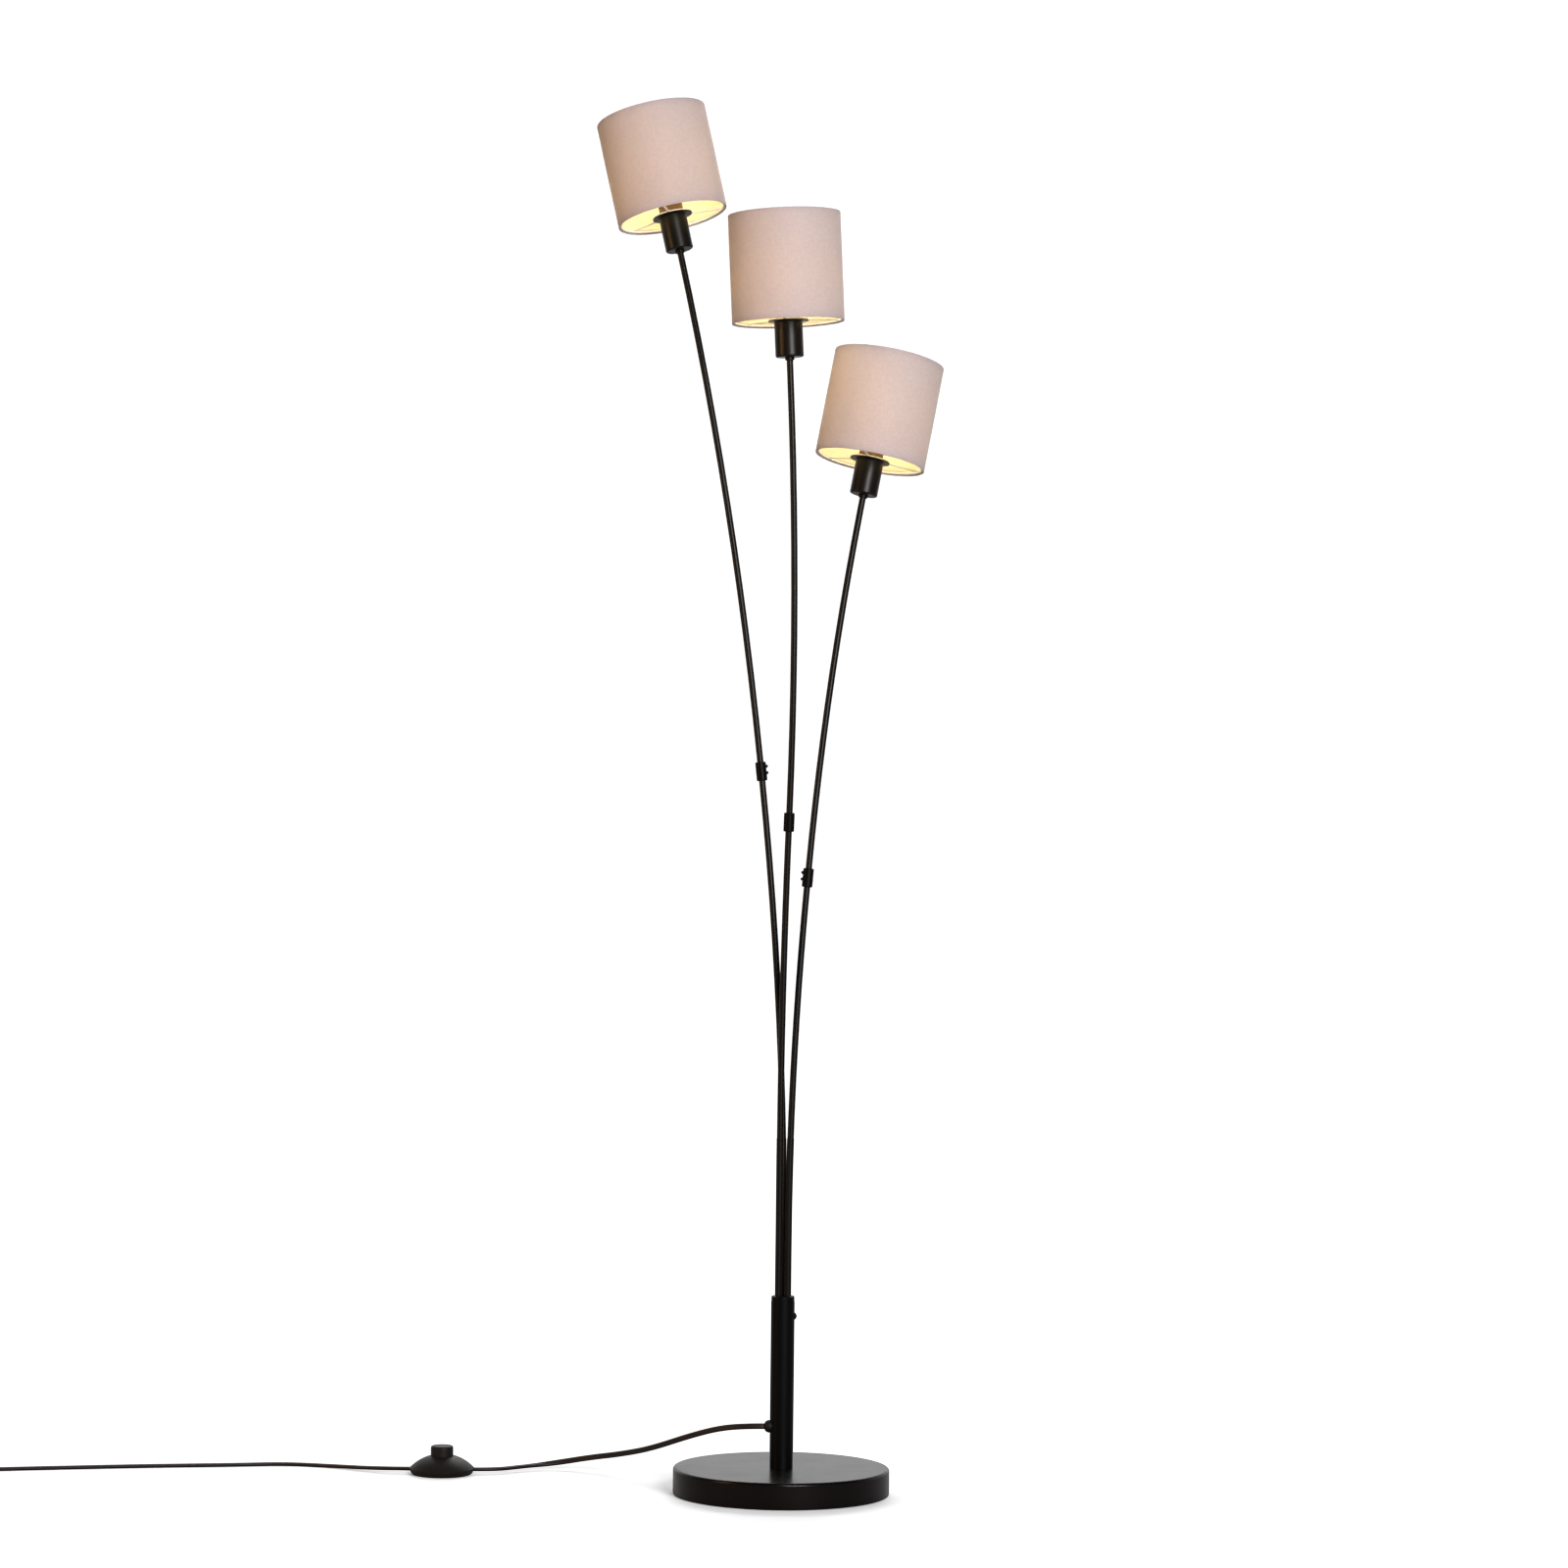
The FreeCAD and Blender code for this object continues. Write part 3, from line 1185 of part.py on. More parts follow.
def least_gap(wire, radius, spacing=1.5):
    """The tube's least gap to itself, on points along its centre line."""
    count = int(wire.Length / spacing)
    points = wire.discretize(Number=count)
    near = int(math.pi * radius * 2 / spacing) + 2
    least = 1e9
    for index, point in enumerate(points):
        for other in points[index + near:]:
            distance = point.distanceToPoint(other)
            if distance < least:
                least = distance
    return least - 2.0 * radius


def make_coil():
    wire, tip, heading = coil_wire()
    coil = doc.addObject("Part::Feature", "Coil")
    coil.Shape = swept_tube(wire, CORD_RADIUS)
    print(f"cord_coil: length {wire.Length:.1f} mm, least gap to itself {least_gap(wire, CORD_RADIUS):.2f} mm")
    keep(coil, "cord_coil")
    return tip, heading


# ---------------------------------------------------------------- mains plug

def make_plug(tip, heading):
    """A flat two-pin plug, whose local Z runs from the cord out through the pins."""
    body = new_body("plug_body")
    neck = sized("plug_neck_width") / 2
    waist = sized("plug_waist_width") / 2
    wide = sized("plug_width") / 2
    low, high = sized("plug_waist"), sized("plug_shoulder")
    length = sized("plug_length")
    thickness = sized("plug_thickness")
    outline = new_sketch(body, "XZ_Plane", "BodyOutline")
    draw_outline(outline, [
        (-neck, 0.0), (neck, 0.0), (waist, low), (wide, high), (wide, length), (-wide, length), (-wide, high),
        (-waist, low),
    ])
    block = pad(body, "Block", outline, thickness, midplane=True)
    doc.recompute()
    long_edges = edges_where(block.Shape, lambda edge: abs(abs(edge.valueAt(0).y) - thickness.number / 2) < 0.01
                             and abs(edge.tangentAt(edge.FirstParameter).y) < 0.01)
    soften_edges(body, "EdgeRounds", "Fillet", block, long_edges, sized("plug_round"))
    doc.recompute()
    pin_holes = new_sketch(body, "XY_Plane", "PinHoleOutline", length - sized("plug_pin_root"))
    half = sized("plug_pin_spacing") / 2
    for side in (half, -half):
        draw_circle(pin_holes, sized("plug_pin_diameter") / 2 + sized("press_clearance"), side, 0.0)
    pocket(body, "PinHoles", pin_holes, sized("plug_pin_root") * 2, reversed_way=True)
    # flat on the floor: the local Y axis stands up
    turn = Rotation(Vector(-heading.y, heading.x, 0), Vector(0, 0, 1), heading, "ZXY")
    rest = Vector(tip.x, tip.y, tip.z)
    plug_frame = Placement(rest, turn)
    keep(body, "plug_body", plug_frame)

    pins = []
    for side in (1.0, -1.0):
        pin = new_body(f"plug_pin_{'left' if side > 0 else 'right'}")
        radius = sized("plug_pin_diameter") / 2
        start = length - sized("plug_pin_root")
        end = length + sized("plug_pin_length")
        shaft = revolve(pin, "Pin", [(0.0, start), (radius, start), (radius, end), (0.0, end)])
        soften(pin, "Tip", "Fillet", shaft, [(radius, end)], sized("plug_pin_diameter") / 4)
        offset = Placement(Vector(side * half.number, 0, 0), Rotation())
        pin.Placement = plug_frame * offset
        pins.append(pin)
    group = doc.addObject("Part::Compound", "PlugPins")
    group.Links = pins
    keep(group, "plug_pins")


# ---------------------------------------------------------------- foot switch

SWITCH_FRAME = Placement(SWITCH_CENTRE, Rotation())
PARTING = sized("switch_parting")
BUTTON_HOLE = sized("button_diameter") / 2 + sized("button_gap")
FLANGE_HIGH = sized("switch_height") - sized("switch_wall") - sized("button_gap")
FLANGE_LOW = FLANGE_HIGH - sized("button_flange_thickness")


def cord_ports(body):
    """Holes for the cord, left and right, as wide as the cord and a little more."""
    ports = new_sketch(body, "YZ_Plane", "PortOutline")
    draw_circle(ports, sized("cord_diameter") / 2 + sized("wire_clearance"), 0.0, sized("switch_cord_height"))
    pocket(body, "Ports", ports, sized("switch_diameter") * 2, midplane=True)


def make_switch_base():
    """The lower half: a flat floor that curves out to the parting line, and a seat for the spring."""
    body = new_body("switch_base")
    foot = sized("switch_foot_diameter") / 2
    rim = sized("switch_diameter") / 2
    wall = sized("switch_wall")
    seat = sized("spring_diameter") / 2 - sized("spring_wire") / 2 - sized("button_gap")
    seat_top = wall + sized("spring_seat_height")
    revolve(body, "Tray", [
        (0.0, 0.0), (foot, 0.0, sized("switch_foot_radius")), (rim, PARTING), (rim - wall, PARTING),
        (rim - wall, PARTING - wall, -sized("switch_foot_radius")), (foot - wall, wall), (seat, wall),
        (seat, seat_top), (0.0, seat_top),
    ])
    cord_ports(body)
    keep(body, "switch_base", SWITCH_FRAME)


def make_switch_cover():
    """The domed upper half with the mouth for the button."""
    body = new_body("switch_cover")
    rim = sized("switch_diameter") / 2
    wall = sized("switch_wall")
    top = sized("switch_height")
    mouth_edge = BUTTON_HOLE + wall
    dome = sized("switch_dome_radius")
    revolve(body, "Dome", [
        (rim - wall, PARTING), (rim, PARTING, dome), (mouth_edge, top), (BUTTON_HOLE, top),
        (BUTTON_HOLE, top - wall), (mouth_edge, top - wall, -dome),
    ])
    cord_ports(body)
    keep(body, "switch_cover", SWITCH_FRAME)


def make_switch_button():
    """A hollow cap with a flange that stays under the dome's mouth."""
    body = new_body("switch_button")
    radius = sized("button_diameter") / 2
    flange = sized("button_flange_diameter") / 2
    wall = sized("button_wall")
    top = sized("button_top")
    underside = top - sized("button_crown")
    cap = revolve(body, "Cap", [
        (0.0, underside), (radius - wall, underside), (radius - wall, FLANGE_LOW), (flange, FLANGE_LOW),
        (flange, FLANGE_HIGH), (radius, FLANGE_HIGH), (radius, top), (0.0, top),
    ])
    soften(body, "TopRound", "Fillet", cap, [(radius, top)], sized("button_round"))
    keep(body, "switch_button", SWITCH_FRAME)


def make_switch_spring():
    """A coil spring between the tray's floor and the underside of the button's cap."""
    wire = sized("spring_wire").number
    clearance = sized("spring_clearance").number
    bottom = sized("switch_wall").number + wire / 2 + clearance
    top = sized("button_top").number - sized("button_crown").number - wire / 2 - clearance
    radius = sized("spring_diameter").number / 2
    turns = sized("spring_turns").number
    spring = doc.addObject("Part::Feature", "Spring")
    spring.Shape = swept_tube(helix_wire(radius, bottom, top, turns), wire / 2)
    keep(spring, "switch_spring", SWITCH_FRAME)


# ---------------------------------------------------------------- build and write

def check_parts():
    """Stop unless every object is computed and every sub-part is a valid solid."""
    for item in doc.Objects:
        if "Invalid" in item.State or "Error" in item.State:
            raise ValueError(f"{item.Name} is {item.State}")
    for part in PARTS:
        shape = part.Shape
        if shape.isNull() or not shape.isValid() or not shape.Solids:
            raise ValueError(f"{part.Label} has no valid solid")


def write_parts():
    os.makedirs("parts", exist_ok=True)
    for part in PARTS:
        part.Shape.exportStep(f"parts/{part.Label}.step")


make_base_cover()
make_base_weight()
make_base_pad()
make_base_fixing()
make_pole()
make_foot_bush()
make_top_plug()
make_pole_screw()
make_gland()
make_branches()
make_terminal_block()
make_inner_cord()
make_switch_base()
make_switch_cover()
make_switch_button()
make_switch_spring()
make_cords()
plug_point, plug_heading = make_coil()
make_plug(plug_point, plug_heading)
doc.recompute()
check_parts()
write_parts()
print(f"{len(PARTS)} sub-parts written")
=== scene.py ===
import math

import bmesh
import bpy
from mathutils import Matrix, Vector, noise


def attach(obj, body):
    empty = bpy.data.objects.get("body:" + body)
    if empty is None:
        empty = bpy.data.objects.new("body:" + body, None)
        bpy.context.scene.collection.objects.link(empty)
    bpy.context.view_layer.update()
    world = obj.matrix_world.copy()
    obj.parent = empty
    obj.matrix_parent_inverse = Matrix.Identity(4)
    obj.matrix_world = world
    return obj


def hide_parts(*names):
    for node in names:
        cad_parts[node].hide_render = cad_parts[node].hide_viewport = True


# Tree floor lamp, in metres, +Z up, +X to the viewer's right, +Y away from the viewer.
# The origin is on the floor, at the centre of the round base.

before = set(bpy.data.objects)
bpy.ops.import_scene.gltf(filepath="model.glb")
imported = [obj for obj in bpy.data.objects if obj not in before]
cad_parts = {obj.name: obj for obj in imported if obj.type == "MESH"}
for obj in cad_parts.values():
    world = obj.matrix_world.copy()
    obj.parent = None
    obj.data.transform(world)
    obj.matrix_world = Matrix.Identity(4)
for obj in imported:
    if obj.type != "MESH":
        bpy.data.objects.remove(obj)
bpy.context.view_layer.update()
MM = 0.001
BRANCHES = ("left", "middle", "right")

# ---------------------------------------------------------------- camera

# The photograph's view: level, from 4.18 m in front of the lamp and 0.64 m above the floor.
CAMERA_PLACE = (-0.00485, -4.1826, 0.64316)
CAMERA_ROLL = 0.624
SENSOR_WIDTH = 36.0
LENS = 90.10
SHIFT = (0.00074, 0.0679)


def make_camera():
    data = bpy.data.cameras.new("camera")
    data.sensor_width = SENSOR_WIDTH
    data.lens = LENS
    data.shift_x, data.shift_y = SHIFT
    camera = bpy.data.objects.new("camera", data)
    camera.location = CAMERA_PLACE
    camera.rotation_euler = (math.radians(90.0), math.radians(-CAMERA_ROLL), 0.0)
    bpy.context.scene.collection.objects.link(camera)
    bpy.context.scene.camera = camera


make_camera()

# ---------------------------------------------------------------- small helpers


def add_object(name, data, body=None):
    piece = bpy.data.objects.new(name, data)
    bpy.context.scene.collection.objects.link(piece)
    if body is not None:
        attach(piece, body)
    return piece


def mesh_object(name, points, faces, body, materials=(), face_materials=None, smooth=True):
    """A mesh piece that rides on a body, with its vertices in the row frame."""
    mesh = bpy.data.meshes.new(name)
    mesh.from_pydata([tuple(p) for p in points], [], faces)
    for material in materials:
        mesh.materials.append(material)
    if face_materials is not None:
        mesh.polygons.foreach_set("material_index", face_materials)
    mesh.polygons.foreach_set("use_smooth", [smooth] * len(faces))
    mesh.update()
    return add_object(name, mesh, body)


def fix_normals(piece, merge=False):
    """Turns a mesh's faces outwards; merge joins its doubled points first."""
    edit = bmesh.new()
    edit.from_mesh(piece.data)
    if merge:
        bmesh.ops.remove_doubles(edit, verts=edit.verts, dist=1e-6)
    bmesh.ops.recalc_face_normals(edit, faces=edit.faces)
    edit.to_mesh(piece.data)
    edit.free()


def add_uv(mesh, corner_uvs):
    """corner_uvs holds (across, up) in metres for each corner of each face, in order."""
    layer = mesh.uv_layers.new(name="cloth")
    flat = [value for pair in corner_uvs for value in pair]
    layer.data.foreach_set("uv", flat)


class Head:
    """The axis of a lamp head and what it carries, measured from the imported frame."""

    def __init__(self, name):
        self.name = name
        self.body = f"{name}_lamp"
        low = mesh_centre(f"rod_nut_{name}")
        high = mesh_centre(f"shade_drum_{name}")
        self.axis = (high - low).normalized()
        self.across = Vector((1, 0, 0)) - self.axis * self.axis.x
        self.across.normalize()
        self.side = self.axis.cross(self.across)
        self.origin = low
        self.matrix = Matrix((
            (self.across.x, self.side.x, self.axis.x, self.origin.x),
            (self.across.y, self.side.y, self.axis.y, self.origin.y),
            (self.across.z, self.side.z, self.axis.z, self.origin.z),
            (0.0, 0.0, 0.0, 1.0),
        ))

    def span(self, node):
        """(lowest, highest) height along the axis and the largest radius of a node."""
        inverse = self.matrix.inverted()
        local = [inverse @ v.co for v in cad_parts[node].data.vertices]
        heights = [p.z for p in local]
        radius = max(math.hypot(p.x, p.y) for p in local)
        return min(heights), max(heights), radius


def mesh_centre(node):
    """The centre of a node's surface, each face weighed by its area."""
    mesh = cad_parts[node].data
    total = Vector((0, 0, 0))
    area = 0.0
    for face in mesh.polygons:
        total += face.center * face.area
        area += face.area
    return total / area


HEADS = [Head(name) for name in BRANCHES]

# ---------------------------------------------------------------- materials


def new_material(name, color, roughness, metallic=0.0, specular=0.5):
    """A Principled material whose plain values sit on the shader's own sockets."""
    material = bpy.data.materials.new(name)
    material.use_nodes = True
    shader = material.node_tree.nodes["Principled BSDF"]
    shader.inputs["Base Color"].default_value = (*color, 1.0)
    shader.inputs["Roughness"].default_value = roughness
    shader.inputs["Metallic"].default_value = metallic
    shader.inputs["Specular IOR Level"].default_value = specular
    return material


class Nodes:
    """Short ways to add shader nodes to one material."""

    def __init__(self, material):
        self.tree = material.node_tree
        self.shader = self.tree.nodes["Principled BSDF"]

    def add(self, kind, **settings):
        node = self.tree.nodes.new("ShaderNode" + kind)
        for key, value in settings.items():
            setattr(node, key, value)
        return node

    def link(self, output, target):
        self.tree.links.new(output, target)

    def noise(self, coordinates, scale, detail=3.0, roughness=0.55, stretch=None):
        """A noise value from 0 to 1 over coordinates in metres; scale is features per metre."""
        mapping = self.add("Mapping")
        mapping.inputs["Scale"].default_value = stretch or (1.0, 1.0, 1.0)
        self.link(coordinates, mapping.inputs["Vector"])
        texture = self.add("TexNoise")
        texture.inputs["Scale"].default_value = scale
        texture.inputs["Detail"].default_value = detail
        texture.inputs["Roughness"].default_value = roughness
        self.link(mapping.outputs["Vector"], texture.inputs["Vector"])
        return texture.outputs["Fac"]

    def object_coordinates(self):
        return self.add("TexCoord").outputs["Object"]

    def ramp(self, value, stops):
        """A colour ramp; stops are (place, colour)."""
        ramp = self.add("ValToRGB")
        elements = ramp.color_ramp.elements
        while len(elements) < len(stops):
            elements.new(0.5)
        for element, (place, color) in zip(elements, stops):
            element.position = place
            element.color = (*color, 1.0)
        self.link(value, ramp.inputs["Fac"])
        return ramp.outputs["Color"]

    def paint(self, value, stops):
        """Colours the surface by a value, and returns the colour; stops are (place, colour)."""
        color = self.ramp(value, stops)
        self.link(color, self.shader.inputs["Base Color"])
        return color

    def spread(self, value, low, high):
        """Maps a value from 0..1 to low..high."""
        node = self.add("MapRange")
        node.inputs["To Min"].default_value = low
        node.inputs["To Max"].default_value = high
        self.link(value, node.inputs["Value"])
        return node.outputs["Result"]

    def math(self, operation, first, second=None):
        node = self.add("Math", operation=operation)
        for index, value in enumerate((first, second)):
            if value is None:
                continue
            if isinstance(value, (int, float)):
                node.inputs[index].default_value = value
            else:
                self.link(value, node.inputs[index])
        return node.outputs["Value"]

    def bump(self, height, strength, distance, normal=None):
        node = self.add("Bump")
        node.inputs["Strength"].default_value = strength
        node.inputs["Distance"].default_value = distance
        self.link(height, node.inputs["Height"])
        if normal is not None:
            self.link(normal, node.inputs["Normal"])
        return node.outputs["Normal"]


def powder_coat(name, dark, light, roughness, grain=2600.0, specular=0.5, tint=(1.0, 1.0, 1.0)):
    """Black powder coat: a fine orange peel, a little colour change and uneven gloss.
    roughness is (lowest, highest); tint colours the reflections."""
    material = new_material(name, dark, roughness[0], specular=specular)
    n = Nodes(material)
    n.shader.inputs["Specular Tint"].default_value = (*tint, 1.0)
    place = n.object_coordinates()
    fine = n.noise(place, grain, detail=2.0)
    broad = n.noise(place, 28.0, detail=4.0)
    n.paint(fine, [(0.35, dark), (0.7, light)])
    n.link(n.spread(broad, *roughness), n.shader.inputs["Roughness"])
    n.link(n.bump(fine, 0.35, 0.00004), n.shader.inputs["Normal"])
    return material


def metal(name, color, roughness, grain=900.0, stretch=(1.0, 1.0, 8.0)):
    """Bare metal with turning or drawing marks."""
    material = new_material(name, color, roughness, metallic=1.0)
    n = Nodes(material)
    marks = n.noise(n.object_coordinates(), grain, stretch=stretch)
    n.link(n.spread(marks, roughness * 0.75, roughness * 1.35), n.shader.inputs["Roughness"])
    n.link(n.bump(marks, 0.15, 0.00003), n.shader.inputs["Normal"])
    return material


def moulded(name, dark, light, roughness, grain=1500.0, depth=0.00005, specular=0.5):
    """Moulded plastic or rubber with a spark-eroded grain."""
    material = new_material(name, dark, roughness, specular=specular)
    n = Nodes(material)
    place = n.object_coordinates()
    fine = n.noise(place, grain, detail=3.0)
    broad = n.noise(place, 60.0)
    n.paint(broad, [(0.3, dark), (0.75, light)])
    n.link(n.spread(fine, roughness * 0.85, roughness * 1.15), n.shader.inputs["Roughness"])
    n.link(n.bump(fine, 0.4, depth), n.shader.inputs["Normal"])
    return material


def cast_iron(name):
    material = new_material(name, (0.06, 0.06, 0.065), 0.7, metallic=0.3)
    n = Nodes(material)
    place = n.object_coordinates()
    lumps = n.noise(place, 500.0, detail=6.0)
    n.paint(lumps, [(0.3, (0.035, 0.034, 0.035)), (0.75, (0.1, 0.098, 0.1))])
    n.link(n.bump(lumps, 0.6, 0.0003), n.shader.inputs["Normal"])
    return material


def felt(name):
    material = new_material(name, (0.02, 0.02, 0.021), 0.95)
    n = Nodes(material)
    n.shader.inputs["Sheen Weight"].default_value = 0.3
    place = n.object_coordinates()
    fibres = n.noise(place, 1800.0, detail=8.0, roughness=0.7)
    n.paint(fibres, [(0.35, (0.012, 0.012, 0.012)), (0.7, (0.05, 0.05, 0.052))])
    n.link(n.bump(fibres, 0.8, 0.0003), n.shader.inputs["Normal"])
    return material


def enamel(name, color):
    material = new_material(name, color, 0.35)
    n = Nodes(material)
    place = n.object_coordinates()
    peel = n.noise(place, 700.0)
    n.link(n.spread(peel, 0.28, 0.42), n.shader.inputs["Roughness"])
    n.link(n.bump(peel, 0.2, 0.00003), n.shader.inputs["Normal"])
    return material


def mix_in_light(material, color_output, share, normal=None):
    """Lets a share of the light that falls on the far side come through the surface."""
    n = Nodes(material)
    through = n.add("BsdfTranslucent")
    n.link(color_output, through.inputs["Color"])
    if normal is not None:
        n.link(normal, through.inputs["Normal"])
    mix = n.add("MixShader")
    mix.inputs["Fac"].default_value = share
    output = n.tree.nodes["Material Output"]
    n.link(n.shader.outputs["BSDF"], mix.inputs[1])
    n.link(through.outputs["BSDF"], mix.inputs[2])
    n.link(mix.outputs["Shader"], output.inputs["Surface"])


THREAD = 0.00055
FABRIC_DARK = (0.505, 0.42, 0.42)
FABRIC_LIGHT = (0.63, 0.55, 0.565)


def shade_fabric():
    """A fine plain weave: warp and weft threads, slubs along both, and a slow change of tone."""
    material = new_material("shade_fabric", FABRIC_LIGHT, 0.6, specular=0.35)
    n = Nodes(material)
    n.shader.inputs["Sheen Weight"].default_value = 0.25
    n.shader.inputs["Sheen Roughness"].default_value = 0.5
    uv = n.add("UVMap", uv_map="cloth").outputs["UV"]
    split = n.add("SeparateXYZ")
    n.link(uv, split.inputs["Vector"])
    waves = []
    for axis in ("X", "Y"):
        phase = n.math("MULTIPLY", split.outputs[axis], 2.0 * math.pi / THREAD)
        waves.append(n.math("SINE", phase))
    weave = n.math("MULTIPLY", waves[0], waves[1])
    weave = n.spread(weave, 0.0, 1.0)
    weave.node.inputs["From Min"].default_value = -1.0
    warp = n.noise(uv, 1500.0, detail=3.0, stretch=(1.0, 0.06, 1.0))
    weft = n.noise(uv, 1500.0, detail=3.0, stretch=(0.06, 1.0, 1.0))
    slubs = n.math("ADD", warp, weft)
    cloud = n.noise(uv, 260.0, detail=5.0, roughness=0.65)
    tone = n.math("ADD", n.math("MULTIPLY", slubs, 0.3), n.math("MULTIPLY", cloud, 0.4))
    color = n.paint(tone, [(0.3, FABRIC_DARK), (0.7, FABRIC_LIGHT)])
    height = n.math("ADD", n.math("MULTIPLY", weave, 0.6), n.math("MULTIPLY", slubs, 0.4))
    normal = n.bump(height, 0.5, 0.00012)
    n.link(normal, n.shader.inputs["Normal"])
    mix_in_light(material, color, 0.3, normal)
    return material


def shade_lining_painted_warm():
    """The smooth laminate inside the fabric, cream all over: partly its own pale tint, partly painted warm bulb
    light.
    """
    material = new_material("shade_lining_painted_warm", (0.9, 0.86, 0.7), 0.6, specular=0.3)
    n = Nodes(material)
    uv = n.add("UVMap", uv_map="cloth").outputs["UV"]
    mottle = n.noise(uv, 300.0, detail=4.0)
    # Cream mottle: a random tone, with the bulb's warm light partly painted into the colour.
    color = n.paint(mottle, [(0.3, (0.86, 0.81, 0.61)), (0.75, (0.92, 0.88, 0.68))])
    mix_in_light(material, color, 0.3)
    return material


def lit_glass():
    """Opal glass with the filament's warm light behind it."""
    material = new_material("lit_glass", (0.95, 0.9, 0.8), 0.25)
    n = Nodes(material)
    n.shader.inputs["Emission Color"].default_value = (1.0, 0.8, 0.48, 1.0)
    n.shader.inputs["Emission Strength"].default_value = 10.0
    cloud = n.noise(n.object_coordinates(), 60.0)
    n.link(n.spread(cloud, 0.2, 0.32), n.shader.inputs["Roughness"])
    return material


COAT = powder_coat(
    "powder_coat", (0.0008, 0.0008, 0.0009), (0.002, 0.0019, 0.002), (0.36, 0.46), specular=0.075)
BASE_COAT = powder_coat(
    "base_coat", (0.001, 0.0008, 0.0008), (0.0032, 0.0024, 0.0024), (0.2, 0.28), 1100.0, 0.165, (1.0, 0.9, 0.91))
ROD_COAT = powder_coat(
    "rod_coat", (0.0012, 0.0009, 0.0008), (0.003, 0.0024, 0.0021), (0.3, 0.38), specular=0.17)
CUP_COAT = powder_coat(
    "cup_coat", (0.0024, 0.0016, 0.001), (0.006, 0.0042, 0.003), (0.3, 0.38), specular=0.2)
SCREW_BLACK = metal("screw_black", (0.03, 0.028, 0.027), 0.4)
STEEL = metal("zinc_steel", (0.55, 0.55, 0.57), 0.32)
NICKEL = metal("nickel", (0.72, 0.7, 0.66), 0.22)
ALUMINIUM = metal("aluminium", (0.8, 0.8, 0.8), 0.3)
SWITCH_PLASTIC = moulded(
    "switch_plastic", (0.005, 0.004, 0.0035), (0.0085, 0.0068, 0.006), 0.5, specular=0.2)
# Warm brown on the black plastic of the holder and its collar: painted light from the bulb.
HOLDER_PLASTIC_PAINTED_GLOW = moulded("holder_plastic_painted_glow", (0.10, 0.042, 0.014), (0.14, 0.062, 0.022), 0.45)
WHITE_PLASTIC = moulded("white_plastic", (0.75, 0.74, 0.72), (0.82, 0.81, 0.79), 0.45)
NYLON = moulded("nylon", (0.011, 0.011, 0.011), (0.018, 0.018, 0.018), 0.4)
CORD_COVER = moulded(
    "cord_cover", (0.0085, 0.005, 0.0042), (0.014, 0.0085, 0.007), 0.45, 700.0, specular=0.25)
WIRE_WHITE = enamel("white_wire", (0.84, 0.82, 0.78))
IRON = cast_iron("cast_iron")
FELT = felt("black_felt")
FABRIC = shade_fabric()
LINING_PAINTED_WARM = shade_lining_painted_warm()
LIT_GLASS = lit_glass()

# ---------------------------------------------------------------- cords

CORD_WIDTH = 5.6 * MM
CORD_THICKNESS = 3.4 * MM
FLAT_HEIGHT = CORD_THICKNESS / 2 + 0.1 * MM
GLAND_TIP = Vector((-0.01785, 0.0, 0.072))
SWITCH_CENTRE = Vector((-0.3715, 0.117, 0.0))
SWITCH_RADIUS = 0.035
SWITCH_DEPTH = 0.004
PORT_HEIGHT = 0.0053
LEAD_STRAIGHT = 0.0235
TAIL_STRAIGHT = 0.0225
COIL_START = Vector((-0.946, 0.090, FLAT_HEIGHT))

# From the gland, level at first, down past the base's edge and just clear of the floor to the switch.
LEAD_ROUTE = [
    GLAND_TIP,
    GLAND_TIP + Vector((-0.018, 0.0, 0.0)),
    (-0.0655, 0.012, 0.068),
    (-0.098, 0.040, 0.0556),
    (-0.142, 0.085, 0.0347),
    (-0.1764, 0.125, 0.0226),
    (-0.211, 0.152, 0.0147),
    (-0.252, 0.160, 0.0066),
    (-0.289, 0.141, 0.0048),
    (SWITCH_CENTRE.x + SWITCH_RADIUS + LEAD_STRAIGHT, SWITCH_CENTRE.y, PORT_HEIGHT),
    (SWITCH_CENTRE.x + SWITCH_RADIUS - SWITCH_DEPTH, SWITCH_CENTRE.y, PORT_HEIGHT),
]

# From the switch over the floor to the coil.
TAIL_ROUTE = [
    (SWITCH_CENTRE.x - SWITCH_RADIUS + SWITCH_DEPTH, SWITCH_CENTRE.y, PORT_HEIGHT),
    (SWITCH_CENTRE.x - SWITCH_RADIUS - TAIL_STRAIGHT, SWITCH_CENTRE.y, PORT_HEIGHT),
    (-0.458, 0.132, 0.0035),
    (-0.503, 0.156, FLAT_HEIGHT),
    (-0.550, 0.167, FLAT_HEIGHT),
    (-0.605, 0.1545, FLAT_HEIGHT),
    (-0.660, 0.146, FLAT_HEIGHT),
    (-0.716, 0.136, FLAT_HEIGHT),
    (-0.788, 0.120, FLAT_HEIGHT),
    (-0.848, 0.106, FLAT_HEIGHT),
    COIL_START + Vector((0.049, 0.002, 0.0)),
    COIL_START + Vector((0.024, 0.0, 0.0)),
]

# The coil of the length that is put away.
COIL_PITCH = 6.2 * MM
COIL_INNER = 23.0 * MM
COIL_HALF_TURNS = 4
COIL_RISE = CORD_THICKNESS + 0.2 * MM
COIL_EXIT = 11.0 * MM
COIL_DESCENT = 22.0 * MM
PLUG_AXIS_HEIGHT = 6.85 * MM
POINTS_PER_HALF_TURN = 8


